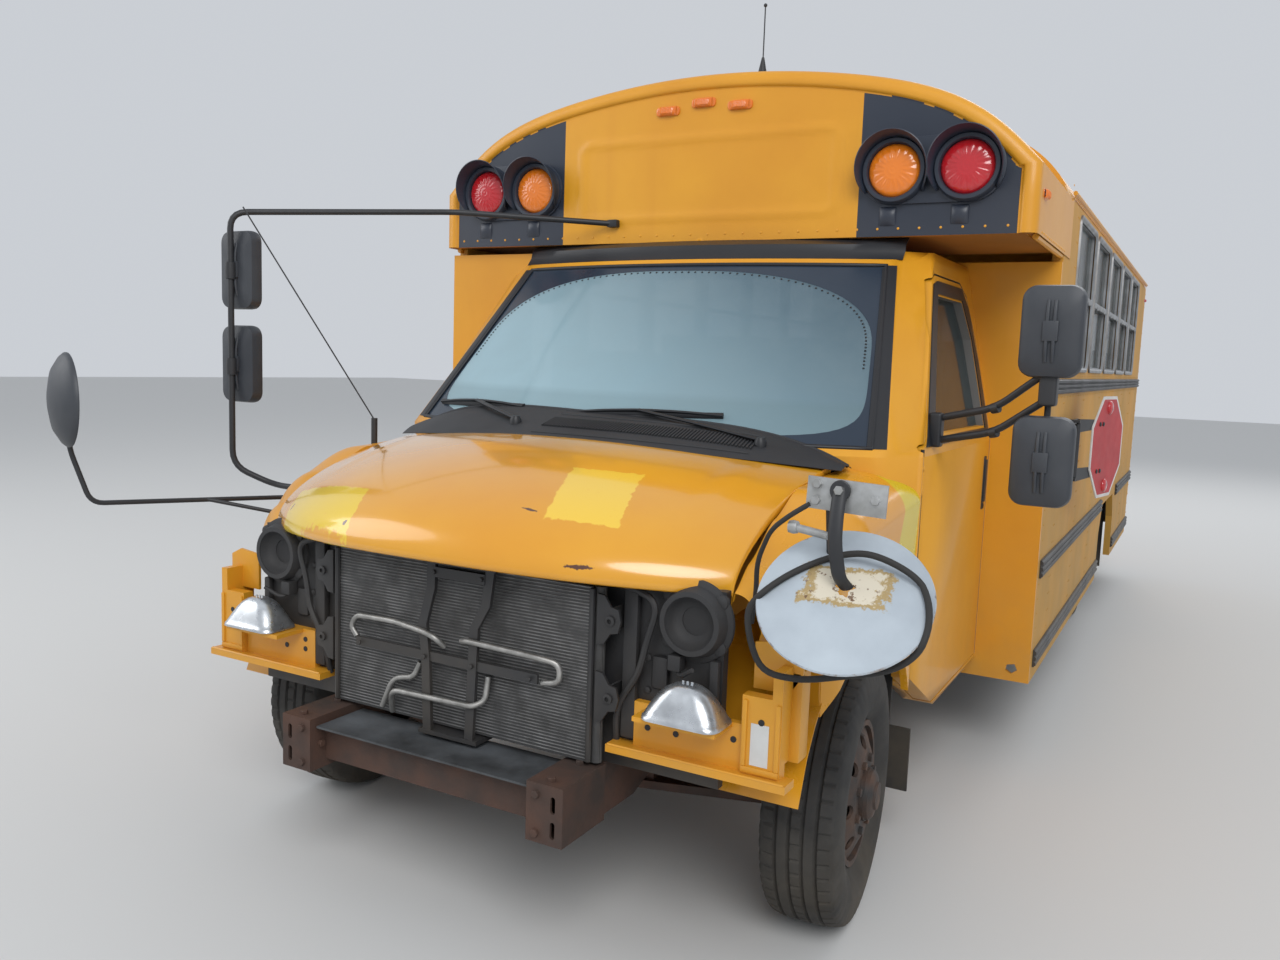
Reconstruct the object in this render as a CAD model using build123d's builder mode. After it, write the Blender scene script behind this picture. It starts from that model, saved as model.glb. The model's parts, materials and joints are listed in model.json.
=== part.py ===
from build123d import *
import math
import os

os.makedirs("parts", exist_ok=True)

# Frame: X to the vehicle's left, Y to the rear, Z up, millimetres.
# The origin is on the ground, on the centre line, half way along the vehicle.

# Overall sizes
front_axle_y = -2753.0
wheelbase = 4496.0
body_half_width = 1220.0
crown_z = 2655.0
cab_half_width = 1005.0

# Body section: straight wall to the eave, a corner arc, then the crown arc
eave_z = 2260.0
corner_x, corner_z = 1115.0, 2415.0
shoulder_x, shoulder_z = 780.0, 2556.0
wall = 40.0
skirt_z = 345.0
roof_split_z = 2300.0
floor_top_z = 760.0
floor_thick = 50.0

# Clearances
seat_gap = 0.3
door_gap = 6.0
run_gap = 5.0
pin_gap = 0.5


# A station is a distance behind the front axle
def aft(distance):
    return front_axle_y + distance


rear_axle_y = aft(wheelbase)
cap_front_y = aft(822.0)
body_front_left_y = aft(1520.0)
body_front_right_y = aft(920.0)
cap_rear_y = aft(1640.0)
body_rear_y = aft(6320.0)

# Windows in the side walls
window_sill_z = 1590.0
window_top_z = 2245.0
window_first_y = aft(1940.0)
window_pitch = 735.0
window_width = 655.0
window_count = 5

# Frame rails
rail_inner_x = 387.0
rail_width = 80.0
rail_wall = 8.0
horn_width = 108.0
horn_front_y = aft(-760.0)
horn_low_z, horn_high_z = 385.0, 538.0
rail_low_z, rail_high_z = 500.0, 655.0

# Wheels
tyre_radius = 372.0
tyre_half_width = 111.0
bead_radius = 206.0
front_track = 1798.0
dual_inner_x = 727.0
dual_outer_x = 981.0
spindle_radius = 28.0
kingpin_x = 760.0
parked_steer = 5.0
arch_radius = 470.0

# Cab, seen from above at the belt and at the roof
belt_z = 1310.0
cab_roof_z = 1985.0
cab_bottom_z = 420.0
cab_floor_z = 700.0
cab_wall = 36.0
door_thick = 60.0
cab_rear_y = aft(1520.0)


def level(z):
    return Plane.XY.offset(z)


# Sketch plane across the vehicle at a station; a positive extrusion goes forward
def across(y):
    return Plane(origin=(0, y, 0), x_dir=(1, 0, 0), z_dir=(0, -1, 0))


# Sketch plane along the vehicle at a width; sketch x is Y, sketch y is Z
def along(x):
    return Plane.YZ.offset(x)


def outline(points, mode=Mode.ADD):
    Polygon(*points, align=None, mode=mode)


# A closed block between two corners
def block(x0, x1, y0, y1, z0, z1, mode=Mode.ADD):
    centre = ((x0 + x1) / 2, (y0 + y1) / 2, (z0 + z1) / 2)
    with Locations(centre):
        Box(abs(x1 - x0), abs(y1 - y0), abs(z1 - z0), mode=mode)


# A round bar or tube run along straight stretches with bends
def tube(points, radius, bend):
    with BuildLine() as route:
        if len(points) > 2:
            FilletPolyline(*points, radius=bend)
        else:
            Line(*points)
    with BuildSketch(Plane(origin=route.line @ 0, z_dir=route.line % 0)) as ring:
        Circle(radius)
    sweep(ring.sketch, path=route.line)


def write(builder, node):
    builder.part.label = node
    export_step(builder.part, f"parts/{node}.step")


# The front wheels stand turned about their kingpins
def write_steered(builder, node, side):
    kingpin = Axis((side * kingpin_x, aft(0), 0), (0, 0, 1))
    steered = builder.part.rotate(kingpin, parked_steer)
    steered.label = node
    export_step(steered, f"parts/{node}.step")


def body_outline(inset=0.0):
    w = body_half_width
    with BuildLine() as edge:
        Polyline((-w, eave_z), (-w, skirt_z), (w, skirt_z), (w, eave_z))
        ThreePointArc((w, eave_z), (corner_x, corner_z), (shoulder_x, shoulder_z))
        ThreePointArc((shoulder_x, shoulder_z), (0, crown_z), (-shoulder_x, shoulder_z))
        ThreePointArc((-shoulder_x, shoulder_z), (-corner_x, corner_z), (-w, eave_z))
    make_face(edge.line.edges())
    if inset:
        offset(amount=-inset, kind=Kind.INTERSECTION)


# Side outline of a frame rail, drawn smaller by the inset for its hollow
def rail_points(inset):
    low, high = rail_low_z + inset, rail_high_z - inset
    front_low, front_high = horn_low_z + 4 + inset, horn_high_z - 4 - inset
    return [
        (horn_front_y + 180, front_low), (aft(-380), front_low), (aft(-60), low), (aft(6150), low),
        (aft(6150), high), (aft(-60), high), (aft(-380), front_high), (horn_front_y + 180, front_high),
    ]


# Frame: two rails that step down to the horns, with cross members
with BuildPart() as frame_rails:
    for side in (-1, 1):
        x0 = rail_inner_x if side > 0 else -rail_inner_x - rail_width
        with BuildSketch(along(x0)):
            outline(rail_points(0))
        extrude(amount=rail_width)
        with BuildSketch(along(x0 if side > 0 else x0 + rail_wall)):
            outline(rail_points(rail_wall))
        extrude(amount=rail_width - rail_wall, mode=Mode.SUBTRACT)
        horn_x = side * (rail_inner_x + rail_width / 2 - 1)
        h = horn_width / 2
        block(horn_x - h, horn_x + h, horn_front_y, horn_front_y + 200, horn_low_z, horn_high_z)
        h -= rail_wall
        block(horn_x - h, horn_x + h, horn_front_y + rail_wall, horn_front_y + 190,
              horn_low_z + rail_wall, horn_high_z - rail_wall, mode=Mode.SUBTRACT)
        with BuildSketch(across(horn_front_y - 1)):
            for slot_z in (425, 490):
                with Locations((side * 451, slot_z)):
                    SlotOverall(44, 14, rotation=90)
        extrude(amount=-(rail_wall + 2), mode=Mode.SUBTRACT)
    cross_members = [
        # station, low z, high z
        (600.0, 515.0, 590.0), (1500.0, 515.0, 640.0), (2700.0, 515.0, 640.0),
        (3800.0, 515.0, 640.0), (5250.0, 515.0, 640.0), (6100.0, 515.0, 640.0),
    ]
    for station, low, high in cross_members:
        web_x = rail_inner_x + rail_width - rail_wall + 1
        block(-web_x, web_x, aft(station), aft(station) + 50, low, high)
    block(-rail_inner_x + 8, rail_inner_x - 8, horn_front_y + 60, horn_front_y + 150, 408, 512)
write(frame_rails, "frame_rails")

# Engine and gearbox, one plain block
with BuildPart() as engine_block:
    block(-270, 270, aft(-400), aft(380), 470 + seat_gap, 1010)
    block(-150, 150, aft(380), aft(1250), 380, 505)
write(engine_block, "engine_block")

# Front suspension: cross member with towers, lower and upper arms with their ball pins
arm_low_z, arm_high_z = 315.0, 475.0
ball_radius = 12.0
arm_tip = 14.0
with BuildPart() as front_suspension:
    tower_x = rail_inner_x - seat_gap
    block(-tower_x, tower_x, aft(-110), aft(110), 400, 470)
    for side in (-1, 1):
        block(side * 330, side * tower_x, aft(-50), aft(50), 400, 600)
        block(side * 330, side * tower_x, aft(-110), aft(110), 290, 400)
        for root, low, high in ((140, arm_low_z - 25, arm_low_z), (60, arm_high_z, arm_high_z + 20)):
            with BuildSketch(level(low)):
                root_x, tip_x = side * 340, side * (kingpin_x + arm_tip)
                outline([(root_x, aft(-root)), (root_x, aft(root)),
                         (tip_x, aft(arm_tip)), (tip_x, aft(-arm_tip))])
            extrude(amount=high - low)
        for low, high in ((arm_low_z, arm_low_z + 25), (arm_high_z - 25, arm_high_z)):
            with BuildSketch(level(low)):
                with Locations((side * kingpin_x, aft(0))):
                    Circle(ball_radius)
            extrude(amount=high - low)
write(front_suspension, "front_suspension")

# Steering knuckles with their spindles
for side, hand in ((1, "left"), (-1, "right")):
    with BuildPart() as knuckle:
        block(side * (kingpin_x - 24), side * (kingpin_x + 24), aft(-40), aft(40), arm_low_z + run_gap,
              arm_high_z - run_gap)
        with BuildSketch(level(arm_low_z)):
            with Locations((side * kingpin_x, aft(0))):
                Circle(ball_radius + pin_gap)
        extrude(amount=28, mode=Mode.SUBTRACT)
        with BuildSketch(level(arm_high_z)):
            with Locations((side * kingpin_x, aft(0))):
                Circle(ball_radius + pin_gap)
        extrude(amount=-28, mode=Mode.SUBTRACT)
        with BuildSketch(along(side * (kingpin_x + 23))):
            with Locations((aft(0), tyre_radius)):
                Circle(spindle_radius)
        extrude(amount=side * 92)
        with BuildSketch(along(side * (kingpin_x + 26))):
            with Locations((aft(0), tyre_radius)):
                Circle(150)
        extrude(amount=side * 8)
    write_steered(knuckle, f"knuckle_{hand}", side)


# Sketch plane through a wheel's axis, for a profile that is revolved
def axle_plane(centre_px, centre_py):
    return Plane(origin=(centre_px, centre_py, tyre_radius), x_dir=(1, 0, 0), z_dir=(0, -1, 0))


# A tyre about an axle along X
def tyre_at(centre_px, centre_py):
    with BuildSketch(axle_plane(centre_px, centre_py)) as half:
        with BuildLine():
            Line((-80, bead_radius), (80, bead_radius))
            ThreePointArc((80, bead_radius), (tyre_half_width, 288), (95, 355))
            ThreePointArc((95, 355), (0, tyre_radius), (-95, 355))
            ThreePointArc((-95, 355), (-tyre_half_width, 288), (-80, bead_radius))
        make_face()
    revolve(half.sketch, axis=Axis((0, centre_py, tyre_radius), (1, 0, 0)))


def side_of(value):
    return 1 if value > 0 else -1


# A steel wheel: barrel, disc and hub; the disc stands out by its offset towards side
def rim_at(centre_px, centre_py, side, disc_offset, hub_in, hub_out):
    barrel = bead_radius - seat_gap
    bore = spindle_radius + pin_gap
    d = side * disc_offset
    with BuildSketch(axle_plane(centre_px, centre_py)) as half:
        outline([(-86, 190), (86, 190), (86, barrel), (-86, barrel)])
        seam = side_of(d) * 66
        outline([(d - 5, 60), (d + 5, 60), (d + 5, 125), (seam + 5, 191), (seam - 5, 191), (d - 5, 125)])
        outline([(side * hub_in, bore), (side * hub_out, bore), (side * hub_out, 75), (side * hub_in, 75)])
    revolve(half.sketch, axis=Axis((0, centre_py, tyre_radius), (1, 0, 0)))
    with BuildSketch(along(centre_px + side_of(d) * 40)) as holes:
        with Locations((centre_py, tyre_radius)):
            with PolarLocations(150, 8):
                Circle(20)
    extrude(holes.sketch, amount=side_of(d) * 120, mode=Mode.SUBTRACT)


for side, hand in ((1, "left"), (-1, "right")):
    wheel_x = side * front_track / 2
    with BuildPart() as tyre_front:
        tyre_at(wheel_x, aft(0))
    write_steered(tyre_front, f"tyre_front_{hand}", side)
    with BuildPart() as rim_front:
        rim_at(wheel_x, aft(0), side, 95, -95, 100)
        with BuildSketch(along(wheel_x + side * 100)):
            with Locations((aft(0), tyre_radius)):
                Circle(75)
        extrude(amount=side * 12)
    write_steered(rim_front, f"rim_front_{hand}", side)
    with BuildPart() as tyres_rear:
        tyre_at(side * dual_inner_x, rear_axle_y)
        tyre_at(side * dual_outer_x, rear_axle_y)
    write(tyres_rear, f"tyres_rear_{hand}")
    with BuildPart() as rims_rear:
        rim_at(side * dual_inner_x, rear_axle_y, side, 122, -60, 134)
        rim_at(side * dual_outer_x, rear_axle_y, side, -122, -122, 0)
        with BuildSketch(along(side * dual_outer_x)):
            with Locations((rear_axle_y, tyre_radius)):
                Circle(75)
        extrude(amount=side * 12)
    write(rims_rear, f"rims_rear_{hand}")

# Rear axle with its leaf springs
with BuildPart() as rear_axle:
    with BuildSketch(along(-640)):
        with Locations((rear_axle_y, tyre_radius)):
            Circle(48)
    extrude(amount=1280)
    for side in (-1, 1):
        with BuildSketch(along(side * 640)):
            with Locations((rear_axle_y, tyre_radius)):
                Circle(spindle_radius)
        extrude(amount=side * 330)
        spring_x = side * (rail_inner_x + rail_width / 2)
        spring_top_z = rail_low_z - seat_gap
        with BuildSketch(along(spring_x - 32)):
            with BuildLine():
                ThreePointArc((rear_axle_y - 620, 480), (rear_axle_y, 408), (rear_axle_y + 620, 480))
                Line((rear_axle_y + 620, 480), (rear_axle_y + 620, spring_top_z))
                ThreePointArc((rear_axle_y + 620, spring_top_z), (rear_axle_y, 460),
                              (rear_axle_y - 620, spring_top_z))
                Line((rear_axle_y - 620, spring_top_z), (rear_axle_y - 620, 480))
            make_face()
        extrude(amount=64)
    with Locations((0, rear_axle_y, tyre_radius)):
        Sphere(150)
write(rear_axle, "rear_axle")

# Fuel tank and exhaust under the floor
with BuildPart() as underbody:
    block(-300, 300, aft(1700), aft(2760), 330, 515 - seat_gap)
    tube([(-300, aft(900), 455), (-560, aft(1500), 455), (-560, aft(3400), 455)], 32, 100)
    for station in (1800, 3200):
        block(-568, -rail_inner_x - rail_width - seat_gap, aft(station), aft(station) + 8, 440, 560)
write(underbody, "underbody")


# Cab volume: straight below the belt, leaning in above it, with a curved front
def cab_plan(mid_y, corner_px, corner_py, side_px, side_py):
    with BuildLine() as edge:
        ThreePointArc((-corner_px, corner_py), (0, mid_y), (corner_px, corner_py))
        Polyline((corner_px, corner_py), (side_px - 15, side_py - 4), (side_px, side_py),
                 (side_px, cab_rear_y), (-side_px, cab_rear_y), (-side_px, side_py),
                 (-side_px + 15, side_py - 4), (-corner_px, corner_py))
    make_face(edge.line.edges())


# The inset shrinks the volume for a hollow or a pane
def cab_volume(inset, low_z):
    belt = (aft(60) + inset, 930 - inset, aft(300) + inset, cab_half_width - inset, aft(420) + inset)
    roof = (aft(730) + inset, 760 - inset, aft(850) + inset, 870 - inset, aft(930) + inset)
    with BuildSketch(level(low_z)) as low:
        cab_plan(*belt)
    extrude(low.sketch, amount=belt_z - low_z)
    with BuildSketch(level(belt_z)) as mid:
        cab_plan(*belt)
    with BuildSketch(level(cab_roof_z - inset)) as top:
        cab_plan(*roof)
    loft([mid.sketch, top.sketch], ruled=True)


with BuildPart() as cab_outer:
    cab_volume(0, cab_bottom_z)
    house_x = cab_half_width - door_thick - 1
    block(-house_x, house_x, aft(0), aft(520), cab_bottom_z - 10, 800, mode=Mode.SUBTRACT)
    block(-1100, 1100, aft(0), aft(430), cab_bottom_z - 10, 800, mode=Mode.SUBTRACT)

with BuildPart() as cab_inner:
    cab_volume(cab_wall, cab_floor_z)
    block(-1100, 1100, aft(0), aft(520) + cab_wall, cab_bottom_z, 800 + cab_wall, mode=Mode.SUBTRACT)

with BuildPart() as door_inner:
    cab_volume(door_thick, cab_bottom_z - 5)

# The wind screen opening, shrunk for the pane that stands in it
def screen_cut(shrink):
    with BuildSketch(level(belt_z + 20 + shrink)) as low:
        cab_plan(aft(-60), 880 - shrink, aft(190), 900 - shrink, aft(480))
    with BuildSketch(level(cab_roof_z - 50 - shrink)) as top:
        cab_plan(aft(600), 745 - shrink, aft(720), 765 - shrink, aft(1000))
    loft([low.sketch, top.sketch], ruled=True)


with BuildPart() as screen_opening:
    screen_cut(0)

door_outline = [
    (aft(442), 600), (aft(442), 1335), (aft(490), belt_z + 50), (aft(850), 1880), (aft(905), 1905),
    (aft(1300), 1905), (aft(1390), 1860), (aft(1455), 1700), (aft(1485), 1400), (aft(1485), 440),
    (aft(600), 440),
]
door_hole = [
    (aft(430), 596), (aft(430), 1339), (aft(481), belt_z + 56), (aft(843), 1886), (aft(901), 1912),
    (aft(1303), 1912), (aft(1396), 1865), (aft(1461), 1702), (aft(1492), 1400), (aft(1492), 433),
    (aft(596), 433),
]
door_window = [
    (aft(590), 1370), (aft(905), 1835), (aft(1290), 1835), (aft(1370), 1700), (aft(1400), 1370),
]

# Door opening in the cab side; the floor and the rocker stay inside it
with BuildPart() as door_opening:
    with BuildSketch(along(500)):
        outline(door_hole)
    extrude(amount=700)
    block(499, cab_half_width - door_thick - run_gap, aft(500), cab_rear_y, cab_bottom_z, cab_floor_z + 1,
          mode=Mode.SUBTRACT)

# Hinge barrels and pins: a barrel on the door between two ears and a pin on what carries it
barrel_radius = 4.6
hinge_pin_radius = 3.0
hinge_length = 90.0
hinge_ear = 14.0


def hinge_barrel(px, py, z, web_x, web_y):
    low, high = z + hinge_ear + 1, z + hinge_length - hinge_ear - 1
    block(min(px, px + web_x), max(px, px + web_x), min(py, py + web_y), max(py, py + web_y), low, high)
    with BuildSketch(level(low)) as ring:
        with Locations((px, py)):
            Circle(barrel_radius)
    extrude(ring.sketch, amount=high - low)
    with BuildSketch(level(low - 1)) as bore:
        with Locations((px, py)):
            Circle(hinge_pin_radius + 0.3)
    extrude(bore.sketch, amount=high - low + 2, mode=Mode.SUBTRACT)


def hinge_ears(px, py, z, web_x, web_y):
    for low in (z, z + hinge_length - hinge_ear):
        block(min(px, px + web_x), max(px, px + web_x), min(py, py + web_y), max(py, py + web_y),
              low, low + hinge_ear)
        with BuildSketch(level(low)) as ring:
            with Locations((px, py)):
                Circle(barrel_radius)
        extrude(ring.sketch, amount=hinge_ear)
    with BuildSketch(level(z)) as pin:
        with Locations((px, py)):
            Circle(hinge_pin_radius)
    extrude(pin.sketch, amount=hinge_length)


# Hinge axes, as x and y
driver_hinge = (1003.0, aft(436))
leaf_hinge_x = -body_half_width - 5.0
rear_hinge = (-463.0, body_rear_y + 5.0)
driver_hinge_heights = (860.0, 1190.0)
leaf_hinge_heights = (520.0, 1090.0, 1800.0)
rear_hinge_heights = (860.0, 1400.0, 1960.0)

# Cab shell: pillars, roof, fire wall, floor and rocker
with BuildPart() as cab_shell:
    add(cab_outer.part)
    add(cab_inner.part, mode=Mode.SUBTRACT)
    block(-900, 900, aft(510), cab_rear_y + 10, cab_bottom_z - 10, rail_high_z + seat_gap, mode=Mode.SUBTRACT)
    add(door_opening.part, mode=Mode.SUBTRACT)
    add(screen_opening.part, mode=Mode.SUBTRACT)
    block(-361, 361, aft(0), aft(560), cab_bottom_z, 1090, mode=Mode.SUBTRACT)
    block(-1100, -840, aft(960), cab_rear_y + 10, cab_bottom_z - 10, cab_roof_z - 60, mode=Mode.SUBTRACT)
    block(-830, 830, cab_rear_y - 60, cab_rear_y + 10, cab_floor_z, cab_roof_z - 60, mode=Mode.SUBTRACT)
    for z in driver_hinge_heights:
        hinge_ears(*driver_hinge, z, -6, -8)
write(cab_shell, "cab_shell")

# Windscreen, a curved pane that follows the cab's front
with BuildPart() as pane_outer:
    cab_volume(10, cab_floor_z)
with BuildPart() as pane_inner:
    cab_volume(18, cab_floor_z)
with BuildPart() as pane_edge:
    screen_cut(seat_gap)
with BuildPart() as windshield:
    add(pane_outer.part)
    add(pane_inner.part, mode=Mode.SUBTRACT)
    add(pane_edge.part, mode=Mode.INTERSECT)
write(windshield, "windshield")

# Cowl grille between hood and windscreen; its rear edge follows the cab's front arc
front_arc_radius = (930.0 ** 2 + 240.0 ** 2) / (2 * 240.0)


def cab_front_y(x):
    return aft(60) + front_arc_radius - math.sqrt(front_arc_radius ** 2 - x ** 2)


# Crowned cross section of the cowl and the hood
def hood_section(half, edge_z, centre_z, base_z):
    with BuildLine() as edge:
        Polyline((-half, edge_z), (-half, base_z), (half, base_z), (half, edge_z))
        ThreePointArc((half, edge_z), (0, centre_z), (-half, edge_z))
    make_face(edge.line.edges())


cowl_half = 800.0
cowl_edge_z, cowl_centre_z = 1284.0, 1327.0
with BuildPart() as cowl:
    rear_mid, rear_end = cab_front_y(0) - seat_gap, cab_front_y(cowl_half) - seat_gap
    with BuildSketch(level(1262)):
        with BuildLine():
            ThreePointArc((-cowl_half, aft(216)), (0, aft(-20)), (cowl_half, aft(216)))
            Line((cowl_half, aft(216)), (cowl_half, rear_end))
            ThreePointArc((cowl_half, rear_end), (0, rear_mid), (-cowl_half, rear_end))
            Line((-cowl_half, rear_end), (-cowl_half, aft(216)))
        make_face()
    extrude(amount=cowl_centre_z - 1262)
    with BuildSketch(across(aft(-60))) as crown:
        hood_section(cowl_half + 10, cowl_edge_z, cowl_centre_z, 1250)
    extrude(crown.sketch, amount=-600, mode=Mode.INTERSECT)
write(cowl, "cowl")

wiper_arms = [
    # pivot x, pivot station, foot z, tip x, tip station
    (620.0, 150.0, 1302.8, 60.0, 46.0), (-100.0, 26.0, 1326.8, -640.0, 150.0),
]
with BuildPart() as wipers:
    for pivot_px, pivot_station, foot_z, tip_px, tip_station in wiper_arms:
        tube([(pivot_px, aft(pivot_station), foot_z), (pivot_px, aft(pivot_station), foot_z + 22),
              (tip_px, aft(tip_station), 1352)], 7, 8)
write(wipers, "wipers")

hood_stations = [
    # station, half width, edge z, centre z
    (260.0, 790.0, 1282.0, 1350.0), (0.0, 800.0, 1262.0, 1333.0), (-200.0, 800.0, 1215.0, 1310.0),
    (-350.0, 800.0, 1135.0, 1282.0), (-480.0, 800.0, 1050.0, 1245.0), (-600.0, 800.0, 960.0, 1190.0),
    (-700.0, 800.0, 880.0, 1115.0), (-760.0, 800.0, 830.0, 1040.0),
]
hood_thick = 24.0
hood_base_z = 800.0
hood_low_z = 1040.0


def hood_volume(drop):
    faces = []
    for station, half, edge_z, centre_z in hood_stations:
        with BuildSketch(across(aft(station))) as cut:
            hood_section(half - drop, edge_z - drop, centre_z - drop, hood_base_z)
        faces.append(cut.sketch)
    return faces


# Hood plan, with its curved nose and its hollowed rear edge
def hood_plan(shrink):
    with BuildLine() as edge:
        ThreePointArc((-788 + shrink, aft(205)), (0, aft(-28) - shrink), (788 - shrink, aft(205)))
        Line((788 - shrink, aft(205)), (792 - shrink, aft(-430)))
        ThreePointArc((792 - shrink, aft(-430)), (560, aft(-672) + shrink), (0, aft(-742) + shrink))
        ThreePointArc((0, aft(-742) + shrink), (-560, aft(-672) + shrink), (-792 + shrink, aft(-430)))
        Line((-792 + shrink, aft(-430)), (-788 + shrink, aft(205)))
    make_face(edge.line.edges())


with BuildPart() as hood:
    loft(hood_volume(0))
    with BuildSketch(level(hood_base_z)) as plan:
        hood_plan(0)
    extrude(plan.sketch, amount=600, mode=Mode.INTERSECT)
    block(-900, 900, aft(-900), aft(400), hood_base_z - 1, hood_low_z, mode=Mode.SUBTRACT)
with BuildPart() as hood_hollow:
    loft(hood_volume(hood_thick))
    with BuildSketch(level(hood_base_z)) as plan:
        hood_plan(hood_thick)
    extrude(plan.sketch, amount=600, mode=Mode.INTERSECT)
with BuildPart() as hood_shell:
    add(hood.part)
    add(hood_hollow.part, mode=Mode.SUBTRACT)
write(hood_shell, "hood")

# Front fenders: a skin that slopes out from the hood seam, with the wheel arch cut
fender_stations = [
    # station, seam z, shoulder z, half width
    (415.0, 1282.0, 1170.0, 1005.0), (-100.0, 1245.0, 1130.0, 1005.0), (-270.0, 1175.0, 1070.0, 995.0),
    (-420.0, 1085.0, 990.0, 935.0), (-510.0, 1020.0, 930.0, 868.0),
]


def fender_section(side, seam_z, shoulder, half, drop):
    top_x = 800 + drop * 0.5
    mid_x = 800 + (half - 800) * 0.62
    outline([
        (side * top_x, seam_z - drop), (side * mid_x, seam_z - 40 - drop),
        (side * (half - drop), shoulder - drop), (side * (half - drop), 560),
        (side * top_x, 560),
    ])


fender_forms = []
for side, hand in ((1, "left"), (-1, "right")):
    skins = []
    for drop in (0, 14):
        faces = []
        for station, seam_z, shoulder, half in fender_stations:
            shift = {415.0: -drop, -510.0: drop}.get(station, 0)
            with BuildSketch(across(aft(station + shift)), mode=Mode.PRIVATE) as cut:
                fender_section(side, seam_z, shoulder, half, drop)
            faces.append(cut.sketch)
        skins.append(faces)
    with BuildPart() as fender_form:
        loft(skins[0], ruled=True)
    fender_forms.append(fender_form.part)
    with BuildPart() as fender:
        add(fender_form.part)
        loft(skins[1], ruled=True, mode=Mode.SUBTRACT)
        block(side * 780, side * 992, aft(-575), aft(430), 550, 800, mode=Mode.SUBTRACT)
        block(side * 780, side * 1020, aft(-575), aft(-340), 550, 900, mode=Mode.SUBTRACT)
        with BuildSketch(along(side * 700)):
            with Locations((aft(0), tyre_radius)):
                Circle(arch_radius)
        extrude(amount=side * 400, mode=Mode.SUBTRACT)
        add(cab_outer.part, mode=Mode.SUBTRACT)
    write(fender, f"fender_{hand}")

# Radiator support: the black panel with its opening, lamp dishes and hood bumpers, and the latch brace
core_left_x, core_right_x = 450.0, -420.0
core_low_z, core_high_z = 548.0, 1008.0
panel_front_y, panel_rear_y = aft(-540), aft(-512)
latch_braces = [
    # bends of each pressed strip, as x and z from the top
    [(-42.0, 1020.0), (-44.0, 942.0), (-72.0, 840.0), (-60.0, 743.0), (-52.0, 534.0)],
    [(157.0, 1020.0), (142.0, 917.0), (105.0, 853.0), (103.0, 801.0), (92.0, 534.0)],
]
with BuildPart() as radiator_support:
    block(-790, 790, panel_front_y, panel_rear_y, horn_high_z - 4 + seat_gap, 1030)
    block(core_right_x - 5, core_left_x + 5, panel_front_y - 5, panel_rear_y + 5, core_low_z - 3, core_high_z,
          mode=Mode.SUBTRACT)
    for side in (-1, 1):
        for radius, deep, mode in ((80, 40, Mode.ADD), (66, 41, Mode.SUBTRACT)):
            with BuildSketch(across(panel_front_y)):
                with Locations((side * 712, 948)):
                    Circle(radius)
            extrude(amount=deep, mode=mode)
        block(side * 712, side * 742, aft(-535), aft(-515), 1030, 1040 - seat_gap)
    block(-40, 140, aft(-640), aft(-626), 975, 1003)
    block(-320, 310, aft(-634), aft(-626), 736, 762)
    block(-70, 175, aft(-640), panel_front_y + 1, 1012, 1024)
    block(-80, 120, aft(-640), panel_front_y + 1, 530, 542)
    for bends in latch_braces:
        with BuildSketch(across(aft(-626))):
            outline([(px - 14, pz) for px, pz in bends] + [(px + 14, pz) for px, pz in reversed(bends)])
        extrude(amount=12)
write(radiator_support, "radiator_support")

# Condenser core with its two side tanks and its bracket tabs
with BuildPart() as condenser:
    block(core_right_x, core_left_x, aft(-600), aft(-565), core_low_z, core_high_z)
    for x, out in ((core_right_x - 14, -1), (core_left_x + 14, 1)):
        with BuildSketch(level(core_low_z)):
            with Locations((x, aft(-582))):
                Circle(15)
        extrude(amount=core_high_z - core_low_z)
        for z in (700, 900):
            block(x, x + out * 45, aft(-590), aft(-584), z, z + 60)
            block(x + out * 39, x + out * 45, aft(-590), panel_front_y - seat_gap, z, z + 60)
write(condenser, "condenser")

# Plastic deflector sheet below the condenser, resting on the front cross tube
with BuildPart() as air_deflector:
    with BuildSketch(along(-362)):
        outline([(aft(-745), 512.3), (aft(-560), 512.3), (aft(-560), 518), (aft(-745), 518)])
    extrude(amount=724)
write(air_deflector, "air_deflector")

# Yellow brackets that carried the bumper fascia and the lamps
shelf_z = 722.0
with BuildPart() as lamp_brackets:
    for side in (-1, 1):
        block(side * 500, side * 985, aft(-600), panel_front_y - seat_gap, 588, 608)
        block(side * 560, side * 860, aft(-562), panel_front_y - seat_gap, 607, shelf_z)
        block(side * 610, side * 830, aft(-665), aft(-561), shelf_z - 12, shelf_z)
        block(side * 859, side * 960, aft(-575), panel_front_y - seat_gap, 607, 800)
        block(side * 935, side * 960, aft(-575), aft(-470), 640, 870)
write(lamp_brackets, "lamp_brackets")

# Sealed beam reflectors
with BuildPart() as headlamps:
    for side in (-1, 1):
        with BuildSketch(level(shelf_z + seat_gap)):
            with Locations((side * 735, aft(-620))):
                RectangleRounded(205, 130, 20)
        with BuildSketch(level(shelf_z + 112)):
            with Locations((side * 735, aft(-620))):
                RectangleRounded(60, 50, 10)
        loft(ruled=True)
write(headlamps, "headlamps")

# Driver's door, cut from the cab's outer form
with BuildPart() as driver_door:
    add(cab_outer.part)
    add(door_inner.part, mode=Mode.SUBTRACT)
    with BuildSketch(along(500)):
        outline(door_outline)
    extrude(amount=700, mode=Mode.INTERSECT)
    with BuildSketch(along(500)):
        outline(door_window)
    extrude(amount=700, mode=Mode.SUBTRACT)
    for z in driver_hinge_heights:
        hinge_barrel(*driver_hinge, z, -6, 8)
write(driver_door, "driver_door")

with BuildPart() as glass_inner:
    cab_volume(34, cab_floor_z)
with BuildPart() as glass_outer:
    cab_volume(28, cab_floor_z)
with BuildPart() as door_pane:
    add(glass_outer.part)
    add(glass_inner.part, mode=Mode.SUBTRACT)
    with BuildSketch(along(500)):
        outline(door_window)
    extrude(amount=700, mode=Mode.INTERSECT)
write(door_pane, "driver_door_glass")

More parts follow.
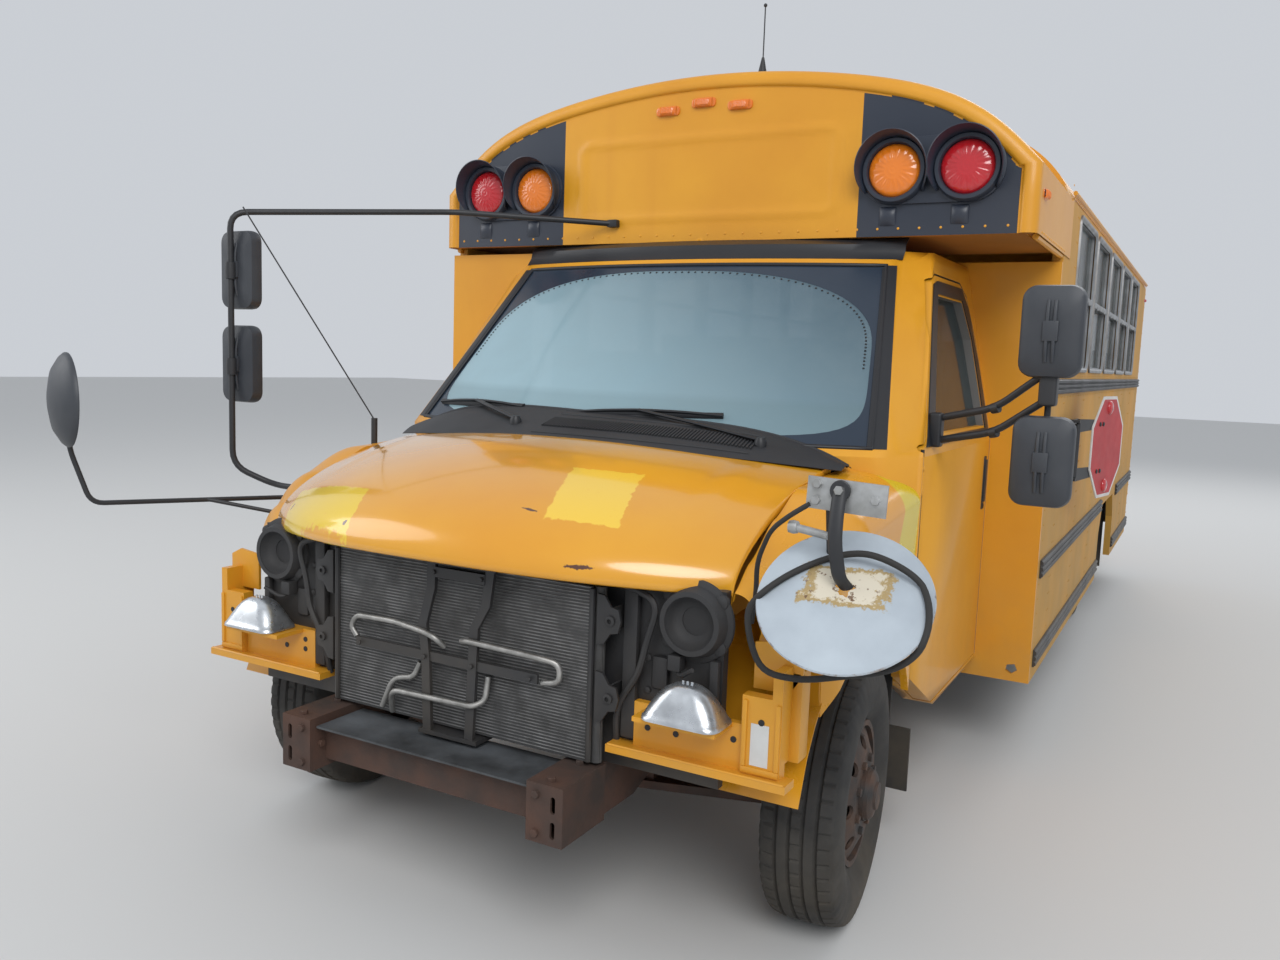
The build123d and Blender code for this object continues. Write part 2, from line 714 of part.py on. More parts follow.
# Left mirrors on twin arms from the door's front corner
with BuildPart() as mirrors_left:
    block(960, 1030, aft(540), aft(580), 1335, 1440)
    add(cab_outer.part, mode=Mode.SUBTRACT)
    for low, mid, high in ((1355, 1395, 1505), (1425, 1470, 1590)):
        tube([(1015, aft(560), low), (1190, aft(520), mid), (1345, aft(455), high)], 11, 40)
    for centre_z in (1702, 1322):
        with BuildSketch(across(aft(470))):
            with Locations((1345, centre_z)):
                RectangleRounded(178, 272, 35)
        extrude(amount=60)
    tube([(1345, aft(478), 1230), (1345, aft(478), 1800)], 9, 10)
write(mirrors_left, "mirrors_left")

# Right mirrors on their pole, and the cross view mirror with its tubes
pole_px, pole_py = -1420.0, -150.0
with BuildPart() as mirrors_right:
    tube([(-cab_half_width - seat_gap, aft(-60), 1060), (-1300, aft(-60), 1060),
          (pole_px, aft(pole_py), 1130), (pole_px, aft(pole_py), 2060), (-900, aft(500), 2130),
          (-375, aft(811), 2110)], 11, 50)
    for centre_z in (1855, 1510):
        with BuildSketch(across(aft(pole_py + 8))):
            with Locations((pole_px, centre_z)):
                RectangleRounded(150, 290, 30)
        extrude(amount=-60)
    tube([(-cab_half_width - seat_gap, aft(-90), 1030), (-1180, aft(-110), 1030), (-1340, aft(-765), 1060),
          (-1385, aft(-805), 1240), (-1364, aft(-818), 1380)], 8, 30)
    with BuildSketch(Plane(origin=(-1364, aft(-820), 1390), x_dir=(0, 0, 1), z_dir=(-0.35, -0.94, 0))):
        Circle(150)
    extrude(amount=50, taper=40)
    add(fender_forms[1], mode=Mode.SUBTRACT)
write(mirrors_right, "mirrors_right")

# Broken left cross view mirror on its bracket plate
with BuildPart() as crossview_left:
    block(1000, 1185, aft(-606), aft(-600), 1265, 1335)
    with BuildSketch(along(1068)):
        outline([(aft(-606), 1320), (aft(-614), 1320), (aft(-640), 1200), (aft(-612), 1090),
                 (aft(-592), 1090), (aft(-628), 1200), (aft(-606), 1290)])
    extrude(amount=24)
    with BuildSketch(Plane(origin=(1104, aft(-612), 1068), x_dir=(1, 0, 0), z_dir=(0.1, -0.66, 0.74))):
        Circle(195)
    extrude(amount=12)
    tube([(880, aft(-380), 930), (1020, aft(-430), 960), (1050, aft(-597), 1300)], 10, 30)
    add(fender_forms[0], mode=Mode.SUBTRACT)
write(crossview_left, "crossview_left")

# Bus body: side walls below the roof split, cut from the body section
with BuildPart() as body_tube:
    with BuildSketch(across(body_front_right_y)) as outer:
        body_outline()
    extrude(outer.sketch, amount=-(body_rear_y - wall - body_front_right_y))
with BuildPart() as body_hollow:
    with BuildSketch(across(body_front_right_y - 10)) as inner:
        body_outline(wall)
    extrude(inner.sketch, amount=-(body_rear_y - body_front_right_y + 20))
    block(-body_half_width + wall, body_half_width - wall, body_front_right_y - 10, body_rear_y + 10,
          skirt_z - 10, skirt_z + 60)

wheel_opening = [
    (rear_axle_y - 492, skirt_z - 10), (rear_axle_y - 470, 620), (rear_axle_y - 350, 790),
    (rear_axle_y + 350, 790), (rear_axle_y + 470, 620), (rear_axle_y + 492, skirt_z - 10),
]
entry_front_y, entry_rear_y = aft(1000), aft(1740)
entry_low_z, entry_high_z = 420.0, 2010.0

for side, hand in ((1, "left"), (-1, "right")):
    with BuildPart() as side_wall:
        add(body_tube.part)
        add(body_hollow.part, mode=Mode.SUBTRACT)
        x0, x1 = side * 500, side * (body_half_width + 10)
        front_y = body_front_left_y if side > 0 else body_front_right_y
        block(x0, x1, front_y, body_rear_y, skirt_z, roof_split_z, mode=Mode.INTERSECT)
        with BuildSketch(along(x0)):
            outline(wheel_opening)
            for index in range(window_count):
                y0 = window_first_y + index * window_pitch
                with Locations((y0 + window_width / 2, (window_sill_z + window_top_z) / 2)):
                    RectangleRounded(window_width, window_top_z - window_sill_z, 40)
            if side < 0:
                outline([(entry_front_y, entry_low_z), (entry_rear_y, entry_low_z),
                         (entry_rear_y, entry_high_z), (entry_front_y, entry_high_z)])
        extrude(amount=side * 800, mode=Mode.SUBTRACT)
        if side < 0:
            for z in leaf_hinge_heights:
                hinge_ears(leaf_hinge_x, entry_front_y + 3, z, 5, -18)
                hinge_ears(leaf_hinge_x, entry_rear_y - 3, z, 5, 18)
    write(side_wall, f"side_wall_{hand}")

# Roof over the passenger space
with BuildPart() as roof:
    add(body_tube.part)
    add(body_hollow.part, mode=Mode.SUBTRACT)
    block(-1300, 1300, cap_rear_y, body_rear_y, roof_split_z, crown_z + 10, mode=Mode.INTERSECT)
write(roof, "roof")

# Front cap over the cab: rolled front edge, hollow, with a panel underneath
cap_low_z = 2006.0
with BuildPart() as front_cap:
    with BuildSketch(across(cap_front_y)):
        body_outline()
    extrude(amount=-(cap_rear_y - cap_front_y))
    block(-1300, 1300, cap_front_y - 10, cap_rear_y + 10, cap_low_z, crown_z + 10, mode=Mode.INTERSECT)
    front_edges = front_cap.edges().filter_by(lambda e: e.center().Y < cap_front_y + 1)
    fillet(front_edges.filter_by(lambda e: e.center().Z > cap_low_z + 9), 45)
    with BuildSketch(across(cap_front_y + wall)):
        body_outline(wall)
    extrude(amount=-(cap_rear_y - cap_front_y), mode=Mode.SUBTRACT)
    block(-body_half_width + wall, body_half_width - wall, cap_front_y + wall, body_front_left_y, cap_low_z,
          cap_low_z + 30)
    for side, rear in ((1, body_front_left_y), (-1, body_front_right_y)):
        block(side * 1090, side * 1230, rear, cap_rear_y + 10, cap_low_z - 10, roof_split_z,
              mode=Mode.SUBTRACT)
write(front_cap, "front_cap")

# Body front bulkheads beside the cab
with BuildPart() as front_bulkhead:
    block(700, body_half_width, body_front_left_y - 20, body_front_left_y, skirt_z, cap_low_z)
    block(-body_half_width, -700, body_front_right_y - wall, body_front_right_y, skirt_z, cap_low_z)
    add(cab_outer.part, mode=Mode.SUBTRACT)
    block(-930, 930, aft(0), aft(1600), skirt_z - 10, cab_bottom_z + 240, mode=Mode.SUBTRACT)
    with BuildSketch(across(body_front_left_y + 1)):
        outline([(1128, 386), (1150, 374), (1174, 392), (1163, 416), (1133, 410)])
    extrude(amount=30, mode=Mode.SUBTRACT)
write(front_bulkhead, "front_bulkhead")

# Rear wall with the emergency door opening and two windows
rear_skirt_z = 640.0
rear_door_half, rear_door_low_z, rear_door_high_z = 460.0, 770.0, 2120.0
with BuildPart() as rear_wall:
    with BuildSketch(across(body_rear_y)):
        body_outline()
    extrude(amount=wall)
    block(-1300, 1300, body_rear_y - 100, body_rear_y + 10, rear_skirt_z, crown_z + 10, mode=Mode.INTERSECT)
    block(-rear_door_half - door_gap, rear_door_half + door_gap, body_rear_y - wall - 5, body_rear_y + 5,
          rear_door_low_z - door_gap, rear_door_high_z + door_gap, mode=Mode.SUBTRACT)
    for side in (-1, 1):
        with BuildSketch(across(body_rear_y + 5)):
            with Locations((side * 830, 1820)):
                RectangleRounded(400, 470, 50)
        extrude(amount=60, mode=Mode.SUBTRACT)
    for z in rear_hinge_heights:
        hinge_ears(*rear_hinge, z, -16, -5)
write(rear_wall, "rear_wall")

with BuildPart() as rear_door:
    block(-rear_door_half, rear_door_half, body_rear_y - wall, body_rear_y, rear_door_low_z, rear_door_high_z)
    for centre_z, high in ((1820, 470), (1180, 360)):
        with BuildSketch(across(body_rear_y + 5)):
            with Locations((0, centre_z)):
                RectangleRounded(680, high, 50)
        extrude(amount=60, mode=Mode.SUBTRACT)
    for z in rear_hinge_heights:
        hinge_barrel(*rear_hinge, z, 16, -5)
write(rear_door, "rear_door")

# Floor with cross sills, wheel houses and the entrance step well
house_half, house_top_z, house_in_x = 470.0, 900.0, 560.0
with BuildPart() as body_floor:
    inner_half = body_half_width - wall
    floor_low_z = floor_top_z - floor_thick
    block(-inner_half, inner_half, cab_rear_y + seat_gap, body_rear_y - wall, floor_low_z, floor_top_z)
    for station in (1700, 2300, 2900, 3500, 5300, 5900):
        block(-inner_half, inner_half, aft(station), aft(station) + 60, rail_high_z + seat_gap, floor_low_z)
    for side in (-1, 1):
        block(side * house_in_x, side * inner_half, rear_axle_y - house_half, rear_axle_y + house_half,
              floor_low_z, house_top_z)
        block(side * (house_in_x + 20), side * inner_half, rear_axle_y - house_half + 20,
              rear_axle_y + house_half - 20, rail_high_z - 10, house_top_z - 20, mode=Mode.SUBTRACT)
    block(-inner_half, -850, cab_rear_y, entry_rear_y + 20, 600, floor_top_z + 1, mode=Mode.SUBTRACT)
    block(-inner_half, -850, body_front_right_y + 5, entry_rear_y + 20, 370, 410)
    block(-850, -838, cab_rear_y + seat_gap, entry_rear_y + 20, 370, floor_top_z)
    block(-inner_half, -838, entry_rear_y + 20, entry_rear_y + 32, 370, floor_top_z)
write(body_floor, "body_floor")

# Sash frames of the side windows
sash = 28.0
with BuildPart() as side_windows:
    for side in (-1, 1):
        for index in range(window_count):
            y0 = window_first_y + index * window_pitch
            mid_y, mid_z = y0 + window_width / 2, (window_sill_z + window_top_z) / 2
            high = window_top_z - window_sill_z
            with BuildSketch(along(side * (body_half_width - 32))):
                with Locations((mid_y, mid_z)):
                    RectangleRounded(window_width - 1, high - 1, 39.5)
                    Rectangle(window_width - 2 * sash, high - 2 * sash, mode=Mode.SUBTRACT)
                    Rectangle(window_width - sash, 24)
            extrude(amount=side * 26)
write(side_windows, "side_windows")

with BuildPart() as body_glass:
    for side in (-1, 1):
        for index in range(window_count):
            y0 = window_first_y + index * window_pitch
            mid_y, mid_z = y0 + window_width / 2, (window_sill_z + window_top_z) / 2
            pane_high = (window_top_z - window_sill_z) / 2 - sash - 12
            for up in (-1, 1):
                with BuildSketch(along(side * (body_half_width - 22))):
                    with Locations((mid_y, mid_z + up * (12 + pane_high / 2))):
                        Rectangle(window_width - 2 * sash - 2 * seat_gap, pane_high - 2 * seat_gap)
                extrude(amount=side * 5)
        with BuildSketch(across(body_rear_y - 15)):
            with Locations((side * 830, 1820)):
                RectangleRounded(400 - 2 * seat_gap, 470 - 2 * seat_gap, 50)
        extrude(amount=6)
write(body_glass, "body_glass")

# Rub rails along both sides
rail_rows = [
    # low z, high z, front station left, front station right
    (1500.0, 1560.0, 1560.0, 1780.0), (765.0, 838.0, 1560.0, 1780.0), (400.0, 470.0, 1560.0, 1780.0),
]
with BuildPart() as rub_rails:
    for low, high, front_left, front_right in rail_rows:
        for side, front in ((1, front_left), (-1, front_right)):
            x0, x1 = side * body_half_width, side * (body_half_width + 14)
            if low > 900:
                block(x0, x1, aft(front), body_rear_y - 30, low, high)
            else:
                block(x0, x1, aft(front), rear_axle_y - 510, low, high)
                block(x0, x1, rear_axle_y + 510, body_rear_y - 30, low, high)
write(rub_rails, "rub_rails")

# Entrance door leaves
leaf_mid_y = (entry_front_y + entry_rear_y) / 2
for name, y0, y1, hinge_y, web_y in (
    ("entrance_leaf_front", entry_front_y + door_gap, leaf_mid_y - door_gap / 2, entry_front_y + 3, 18),
    ("entrance_leaf_rear", leaf_mid_y + door_gap / 2, entry_rear_y - door_gap, entry_rear_y - 3, -18),
):
    with BuildPart() as leaf:
        block(-body_half_width, -body_half_width + wall, y0, y1, entry_low_z + door_gap,
              entry_high_z - door_gap)
        for low, high in ((560, 1080), (1180, 1930)):
            with BuildSketch(along(-body_half_width - 5)):
                with Locations(((y0 + y1) / 2, (low + high) / 2)):
                    RectangleRounded(y1 - y0 - 110, high - low, 40)
            extrude(amount=60, mode=Mode.SUBTRACT)
        for z in leaf_hinge_heights:
            hinge_barrel(leaf_hinge_x, hinge_y, z, 5, web_y)
    write(leaf, name)

# Stop sign on its arm, and the housing on the left wall with the hinge pin
stop_hinge_x, stop_hinge_y = 1275.0, aft(1950)
stop_angle = 11.0
stop_reach = 400.0
stop_across = 457.0
stop_z = 1260.0
stop_pin_radius = 5.0
with BuildPart() as stop_arm_box:
    block(body_half_width, body_half_width + 30, aft(1790), stop_hinge_y - 20, stop_z - 130, stop_z + 130)
    for low in (stop_z - 130, stop_z + 118):
        block(body_half_width, stop_hinge_x + 10, stop_hinge_y - 22, stop_hinge_y + 10, low, low + 12)
    with BuildSketch(level(stop_z - 125)):
        with Locations((stop_hinge_x, stop_hinge_y)):
            Circle(stop_pin_radius)
    extrude(amount=250)
write(stop_arm_box, "stop_arm_box")

sign_dir = Vector(math.sin(math.radians(stop_angle)), math.cos(math.radians(stop_angle)), 0)
sign_normal = Vector(sign_dir.Y, -sign_dir.X, 0)
with BuildPart() as stop_sign:
    sign_plane = Plane(origin=Vector(stop_hinge_x, stop_hinge_y, stop_z) + sign_dir * stop_reach, x_dir=sign_dir,
                       z_dir=sign_normal)
    with BuildSketch(sign_plane.offset(6)):
        RegularPolygon(stop_across / 2, 8, major_radius=False, rotation=22.5)
    extrude(amount=6)
    with BuildSketch(sign_plane.offset(-6)):
        for side in (-1, 1):
            with Locations((-stop_reach * 0.6, side * 90)):
                Rectangle(stop_reach * 0.78, 26)
    extrude(amount=12)
    with BuildSketch(level(stop_z - 113)):
        with Locations((stop_hinge_x, stop_hinge_y)):
            Circle(12)
    extrude(amount=226)
    with BuildSketch(level(stop_z - 120)):
        with Locations((stop_hinge_x, stop_hinge_y)):
            Circle(stop_pin_radius + 0.3)
    extrude(amount=240, mode=Mode.SUBTRACT)
write(stop_sign, "stop_sign")

# Warning lamps front and rear, with their hoods, and the marker lamps
lamp_z = 2253.0
with BuildPart() as warning_lamps:
    for y, forward in ((cap_front_y, 1), (body_rear_y, -1)):
        for x in (-992, -746, 746, 992):
            with BuildSketch(across(y)):
                with Locations((x, lamp_z)):
                    Circle(92)
            extrude(amount=forward * 22)
            with BuildSketch(across(y)):
                with Locations((x, lamp_z)):
                    Circle(112)
                    Circle(104, mode=Mode.SUBTRACT)
                with Locations((x, lamp_z - 110)):
                    Rectangle(240, 160, mode=Mode.SUBTRACT)
            extrude(amount=forward * 90)
write(warning_lamps, "warning_lamps")

with BuildPart() as marker_lamps:
    for x in (-150, 0, 150):
        for y, forward in ((cap_front_y, 1), (body_rear_y, -1)):
            with BuildSketch(across(y)):
                with Locations((x, 2545)):
                    RectangleRounded(96, 38, 12)
            extrude(amount=forward * 28)
    for side in (-1, 1):
        for station in (910, 6250):
            block(side * body_half_width, side * (body_half_width + 14), aft(station), aft(station) + 60,
                  2155, 2185)
        with BuildSketch(across(body_rear_y)):
            with Locations((side * 1010, 1320)):
                Circle(90)
            with Locations((side * 1010, 1080)):
                Circle(52)
        extrude(amount=-24)
write(marker_lamps, "marker_lamps")

# Radio antennas: a ball-tipped whip on the cap and a sprung whip on the right fender
with BuildPart() as antennas:
    with BuildSketch(level(2652.5)) as foot:
        with Locations((160, aft(1000))):
            Circle(28)
    extrude(foot.sketch, amount=12)
    with BuildSketch(level(2664)) as cone_low:
        with Locations((160, aft(1000))):
            Circle(20)
    with BuildSketch(level(2735)) as cone_high:
        with Locations((160, aft(1000))):
            Circle(5)
    loft([cone_low.sketch, cone_high.sketch])
    tube([(160, aft(1000), 2730), (160, aft(1000), 2925)], 2.5, 1)
    with Locations((160, aft(1000), 2925)):
        Sphere(7)
    with BuildSketch(level(1238.7)) as spring:
        with Locations((-855, aft(0))):
            Circle(11)
    extrude(spring.sketch, amount=98)
    tube([(-855, aft(0), 1330), (-1190, aft(-286), 2050)], 2.5, 1)
write(antennas, "antennas")

# Rear bumper
with BuildPart() as rear_bumper:
    block(-1180, 1180, aft(6360), aft(6372), 400, 620)
    for z in (400, 608):
        block(-1180, 1180, aft(6330), aft(6372), z, z + 12)
    for side in (-1, 1):
        block(side * rail_inner_x, side * (rail_inner_x + rail_width), aft(6150), aft(6360), 510, 600)
write(rear_bumper, "rear_bumper")

# Mud flaps behind the wheels
with BuildPart() as mud_flaps:
    for side in (-1, 1):
        block(side * 760, side * 930, aft(511), aft(520) - seat_gap, 300, 780)
        block(side * 760, side * 1000, aft(511), aft(520) - seat_gap, 200, 412)
        block(side * 620, side * 1160, rear_axle_y + 560, rear_axle_y + 568, 250, 710 - seat_gap)
write(mud_flaps, "mud_flaps")

# Dashboard with the engine cover and the steering column
column_lean = Vector(0, 0.6, 0.8)
wheel_centre = Vector(480, aft(800), 1280)
with BuildPart() as dashboard:
    block(-880, 880, aft(440), aft(640), 1110, 1290)
    block(-360, 360, aft(135), aft(700), cab_floor_z + seat_gap, 1120)
    block(-330, 330, aft(90), aft(680), cab_floor_z, 1091, mode=Mode.SUBTRACT)
    column_top = wheel_centre - column_lean * (30 + seat_gap)
    column_plane = Plane(origin=column_top, x_dir=(1, 0, 0), z_dir=column_lean)
    with BuildSketch(column_plane):
        Circle(34)
    extrude(amount=-230)
write(dashboard, "dashboard")

with BuildPart() as steering_wheel:
    wheel_plane = Plane(origin=wheel_centre, x_dir=(1, 0, 0), z_dir=column_lean)
    with BuildSketch(wheel_plane.offset(-30)):
        Circle(40)
    extrude(amount=40)
    with BuildSketch(wheel_plane.offset(-10)):
        Circle(195)
        Circle(170, mode=Mode.SUBTRACT)
        for turn in (90, 210, 330):
            with PolarLocations(90, 1, start_angle=turn):
                Rectangle(180, 26)
    extrude(amount=20)
write(steering_wheel, "steering_wheel")

# Seats: driver's seat and rows of benches
row_stations = [2250.0, 2950.0, 3650.0, 4350.0, 5050.0]
with BuildPart() as seats:
    block(380, 860, aft(930), aft(1370), 1010, 1110)
    block(400, 840, aft(1370) + seat_gap, aft(1470), 1030, 1700)
    for station in row_stations:
        for side in (-1, 1):
            x0, x1 = side * 200, side * 1150
            block(x0, x1, aft(station), aft(station + 420), 1090, 1190)
            block(x0, x1, aft(station + 420) + seat_gap, aft(station + 500), 1090, 1750)
write(seats, "seats")

with BuildPart() as seat_frames:
    block(420, 820, aft(970), aft(1330), cab_floor_z + seat_gap, 1010 - seat_gap)
    for station in row_stations:
        for side in (-1, 1):
            for x in (240, 1080):
                if x > 1000 and abs(aft(station + 250) - rear_axle_y) < house_half + 260:
                    continue
                for leg in (60, 380):
                    block(side * x, side * (x + 30), aft(station + leg), aft(station + leg + 30),
                          floor_top_z + seat_gap, 1060 - seat_gap)
            block(side * 220, side * 1130, aft(station + 60), aft(station + 440), 1060, 1090 - seat_gap)
write(seat_frames, "seat_frames")
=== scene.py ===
import bpy, bmesh, json
from math import atan2, copysign, cos, exp, hypot, pi, radians, sin, sqrt, tau
from mathutils import Matrix, Vector
from mathutils.bvhtree import BVHTree

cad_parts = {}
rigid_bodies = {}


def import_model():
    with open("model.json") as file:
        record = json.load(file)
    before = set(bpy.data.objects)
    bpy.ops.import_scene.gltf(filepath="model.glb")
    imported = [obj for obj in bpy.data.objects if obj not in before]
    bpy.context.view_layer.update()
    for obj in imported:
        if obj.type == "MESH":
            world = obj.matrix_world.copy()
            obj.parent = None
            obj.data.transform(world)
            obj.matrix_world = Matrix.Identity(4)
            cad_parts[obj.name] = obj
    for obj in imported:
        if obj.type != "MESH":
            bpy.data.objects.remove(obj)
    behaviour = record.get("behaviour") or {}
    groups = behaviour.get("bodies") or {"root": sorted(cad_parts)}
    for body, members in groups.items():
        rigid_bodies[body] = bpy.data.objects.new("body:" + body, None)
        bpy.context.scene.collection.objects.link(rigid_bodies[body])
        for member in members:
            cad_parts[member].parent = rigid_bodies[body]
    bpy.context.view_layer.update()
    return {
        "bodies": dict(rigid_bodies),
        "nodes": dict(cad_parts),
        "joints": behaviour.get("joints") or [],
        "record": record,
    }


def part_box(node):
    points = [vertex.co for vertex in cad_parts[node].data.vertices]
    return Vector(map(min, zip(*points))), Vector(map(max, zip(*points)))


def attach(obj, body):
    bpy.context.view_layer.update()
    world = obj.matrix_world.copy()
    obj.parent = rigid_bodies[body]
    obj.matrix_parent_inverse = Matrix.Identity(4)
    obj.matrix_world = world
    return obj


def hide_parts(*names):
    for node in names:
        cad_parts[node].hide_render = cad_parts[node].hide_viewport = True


# X runs to the vehicle's left, Y to its rear, Z up, all in metres
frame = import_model()
nodes = frame["nodes"]
frontAxleY = sum(corner.y for name in ("tyre_front_left", "tyre_front_right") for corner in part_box(name)) / 4
bodyPlan = dict(half=1.22, rear=6.32, wheelbase=4.496, bay=0.735, hubHigh=0.372)
upward = Vector((0, 0, 1))


def aft(distance):  # a station, counted back from the front axle
    return frontAxleY + distance


def at(x, station, z):
    return Vector((x, aft(station), z))


def around(count, shift=0):  # angles of a full turn
    return [tau * (k + shift) / count for k in range(count)]


def addObject(name, data):
    made = bpy.data.objects.new(name, data)
    bpy.context.scene.collection.objects.link(made)
    return made


shot = dict(lens=29.08, place=(1.779, -2.783, 1.581), yaw=28.901, pitch=6.676, roll=2.036)


def makeCamera():
    yaw, pitch, roll = (radians(shot[k]) for k in ("yaw", "pitch", "roll"))
    level = Vector((-sin(yaw), cos(yaw), 0))
    right = Vector((cos(yaw), sin(yaw), 0))
    ahead = level * cos(pitch) - Vector((0, 0, sin(pitch)))
    over = level * sin(pitch) + Vector((0, 0, cos(pitch)))
    side = right * cos(roll) + over * sin(roll)
    top = over * cos(roll) - right * sin(roll)
    data = bpy.data.cameras.new("photoCamera")
    data.lens, data.sensor_width, data.clip_end = shot["lens"], 36, 200
    cam = addObject("photoCamera", data)
    x, y, z = shot["place"]
    cam.matrix_world = Matrix.Translation(at(x, y, z)) @ Matrix((side, top, -ahead)).transposed().to_4x4()
    bpy.context.scene.camera = cam


studioPlan = dict(world=0.66, sky=(0.9, 0.94, 1.0, 1), floor=(0.62, 0.62, 0.61, 1), floorHalf=40,
    lamps=(  # name, place, size, power
        ("key", (6, -11, 9), 7, 820), ("fill", (-9, -7, 6), 7, 280), ("rear", (2, 10, 9), 8, 380)))


def makeStudio():
    world = bpy.data.worlds.new("studio")
    bpy.context.scene.world = world
    world.use_nodes = True
    back = world.node_tree.nodes["Background"]
    back.inputs["Color"].default_value = studioPlan["sky"]
    back.inputs["Strength"].default_value = studioPlan["world"]
    for name, place, size, power in studioPlan["lamps"]:
        data = bpy.data.lights.new(name, "AREA")
        data.shape, data.size, data.energy = "DISK", size, power
        lamp = addObject(name, data)
        lamp.location = place
        lamp.rotation_euler = (upward - Vector(place)).to_track_quat("-Z", "Y").to_euler()
    mesh = bpy.data.meshes.new("floor")
    half = studioPlan["floorHalf"]
    mesh.from_pydata([(-half, -half, 0), (half, -half, 0), (half, half, 0), (-half, half, 0)], [], [(0, 1, 2, 3)])
    floor = addObject("floor", mesh)
    mat = bpy.data.materials.new("paleFloor")
    mat.use_nodes = True
    shader = mat.node_tree.nodes["Principled BSDF"]
    shader.inputs["Base Color"].default_value = studioPlan["floor"]
    shader.inputs["Roughness"].default_value = 0.8
    mesh.materials.append(mat)


makeCamera()
makeStudio()
bpy.context.scene.view_settings.view_transform = "Standard"
print("camera and studio ready")


class Wiring:
    # Short names for the node tree of one material
    def __init__(self, name):
        self.material = bpy.data.materials.new(name)
        self.material.use_nodes = True
        self.tree = self.material.node_tree
        self.shader = self.tree.nodes["Principled BSDF"]
        self.place = self.add("ShaderNodeTexCoord").outputs["Object"]

    def put(self, node, inputs):
        for key, value in inputs.items():
            if isinstance(value, bpy.types.NodeSocket):
                self.tree.links.new(value, node.inputs[key])
            else:
                node.inputs[key].default_value = value
        return node

    def add(self, kind, inputs=None, **settings):
        node = self.tree.nodes.new(kind)
        for key, value in settings.items():
            setattr(node, key, value)
        return self.put(node, inputs or {})

    def stretched(self, scale):
        return self.add("ShaderNodeMapping", {"Vector": self.place, "Scale": scale}).outputs["Vector"]

    def noise(self, scale, detail=4.0, rough=0.55, vector=None):
        return self.add("ShaderNodeTexNoise", {"Scale": scale, "Detail": detail, "Roughness": rough,
            "Vector": vector or self.place}).outputs["Fac"]

    def ramp(self, value, low, high, soft=False):
        return self.add("ShaderNodeMapRange", {"Value": value, "From Min": low, "From Max": high},
            interpolation_type="SMOOTHSTEP" if soft else "LINEAR").outputs["Result"]

    def maths(self, what, a, b=0.0):
        return self.add("ShaderNodeMath", {0: a, 1: b}, operation=what).outputs[0]

    def times(self, a, b):
        return self.maths("MULTIPLY", a, b)

    def plus(self, a, b):
        return self.maths("ADD", a, b)

    def minus(self, a, b):
        return self.maths("SUBTRACT", a, b)

    def axis(self, name):
        return self.add("ShaderNodeSeparateXYZ", {"Vector": self.place}).outputs[name]

    def mix(self, fac, a, b):
        tones = {key: value if isinstance(value, bpy.types.NodeSocket) else (*value, 1) for key,
            value in ((6, a), (7, b))}
        return self.add("ShaderNodeMix", {0: fac, **tones}, data_type="RGBA").outputs[2]

    def done(self, colour, cloud, rough, values, relief=None):
        # What every finish ends with: its colour, roughness between two limits, fixed values and a fine relief
        spread = self.add("ShaderNodeMapRange", {"Value": cloud, "To Min": rough[0], "To Max": rough[1]})
        self.put(self.shader, {"Base Color": colour, "Roughness": spread.outputs["Result"], **values})
        if relief:
            height, strength = relief
            bump = self.add("ShaderNodeBump", {"Height": height, "Strength": strength, "Distance": 0.001})
            self.put(self.shader, {"Normal": bump.outputs["Normal"]})
        return self.material


def paintFinish(name, base, shade, rough, patch=1.4, metal=0.0, coat=0.0, dust=None, chips=None, grain=None,
        streaks=0.0):
    # Paint or plastic: two tones in soft patches, dust low down, chips, and a fine grain
    w = Wiring(name)
    colour = w.mix(w.ramp(w.noise(patch, 5), 0.35, 0.65), base, shade)
    if streaks:
        lines = w.noise(9.0, 3, vector=w.stretched((1, 1, 0.12)))
        colour = w.mix(w.times(w.ramp(lines, 0.52, 0.75, True), streaks), colour, shade)
    if dust:
        tint, low, high, most = dust
        fade = w.ramp(w.axis("Z"), high, low, True)
        cloud = w.ramp(w.noise(3.2, 6, 0.65), 0.3, 0.75)
        colour = w.mix(w.times(w.times(fade, cloud), most), colour, tint)
    if chips:
        tint, scale, level = chips
        colour = w.mix(w.ramp(w.noise(scale, 7, 0.7), level, level + 0.02), colour, tint)
    return w.done(colour, w.noise(patch * 3, 5), rough, {"Metallic": metal, "Coat Weight": coat,
        "Coat Roughness": 0.12}, (w.noise(grain[0], 3), grain[1]) if grain else None)


def glassFinish(name, tint, rough, alpha):
    w = Wiring(name)
    colour = w.mix(w.ramp(w.noise(2.5, 5), 0.35, 0.7), tint, tuple(min(1, c * 1.25) for c in tint))
    return w.done(colour, w.noise(4, 6), (rough, rough + 0.12), {"Alpha": alpha, "IOR": 1.5})


finishes, slotOf = {}, {}


def addFinish(name, slot, material, wearers=""):
    finishes[name], slotOf[name] = material, slot
    for node in wearers.split():
        nodes[node].data.materials.clear()
        nodes[node].data.materials.append(material)


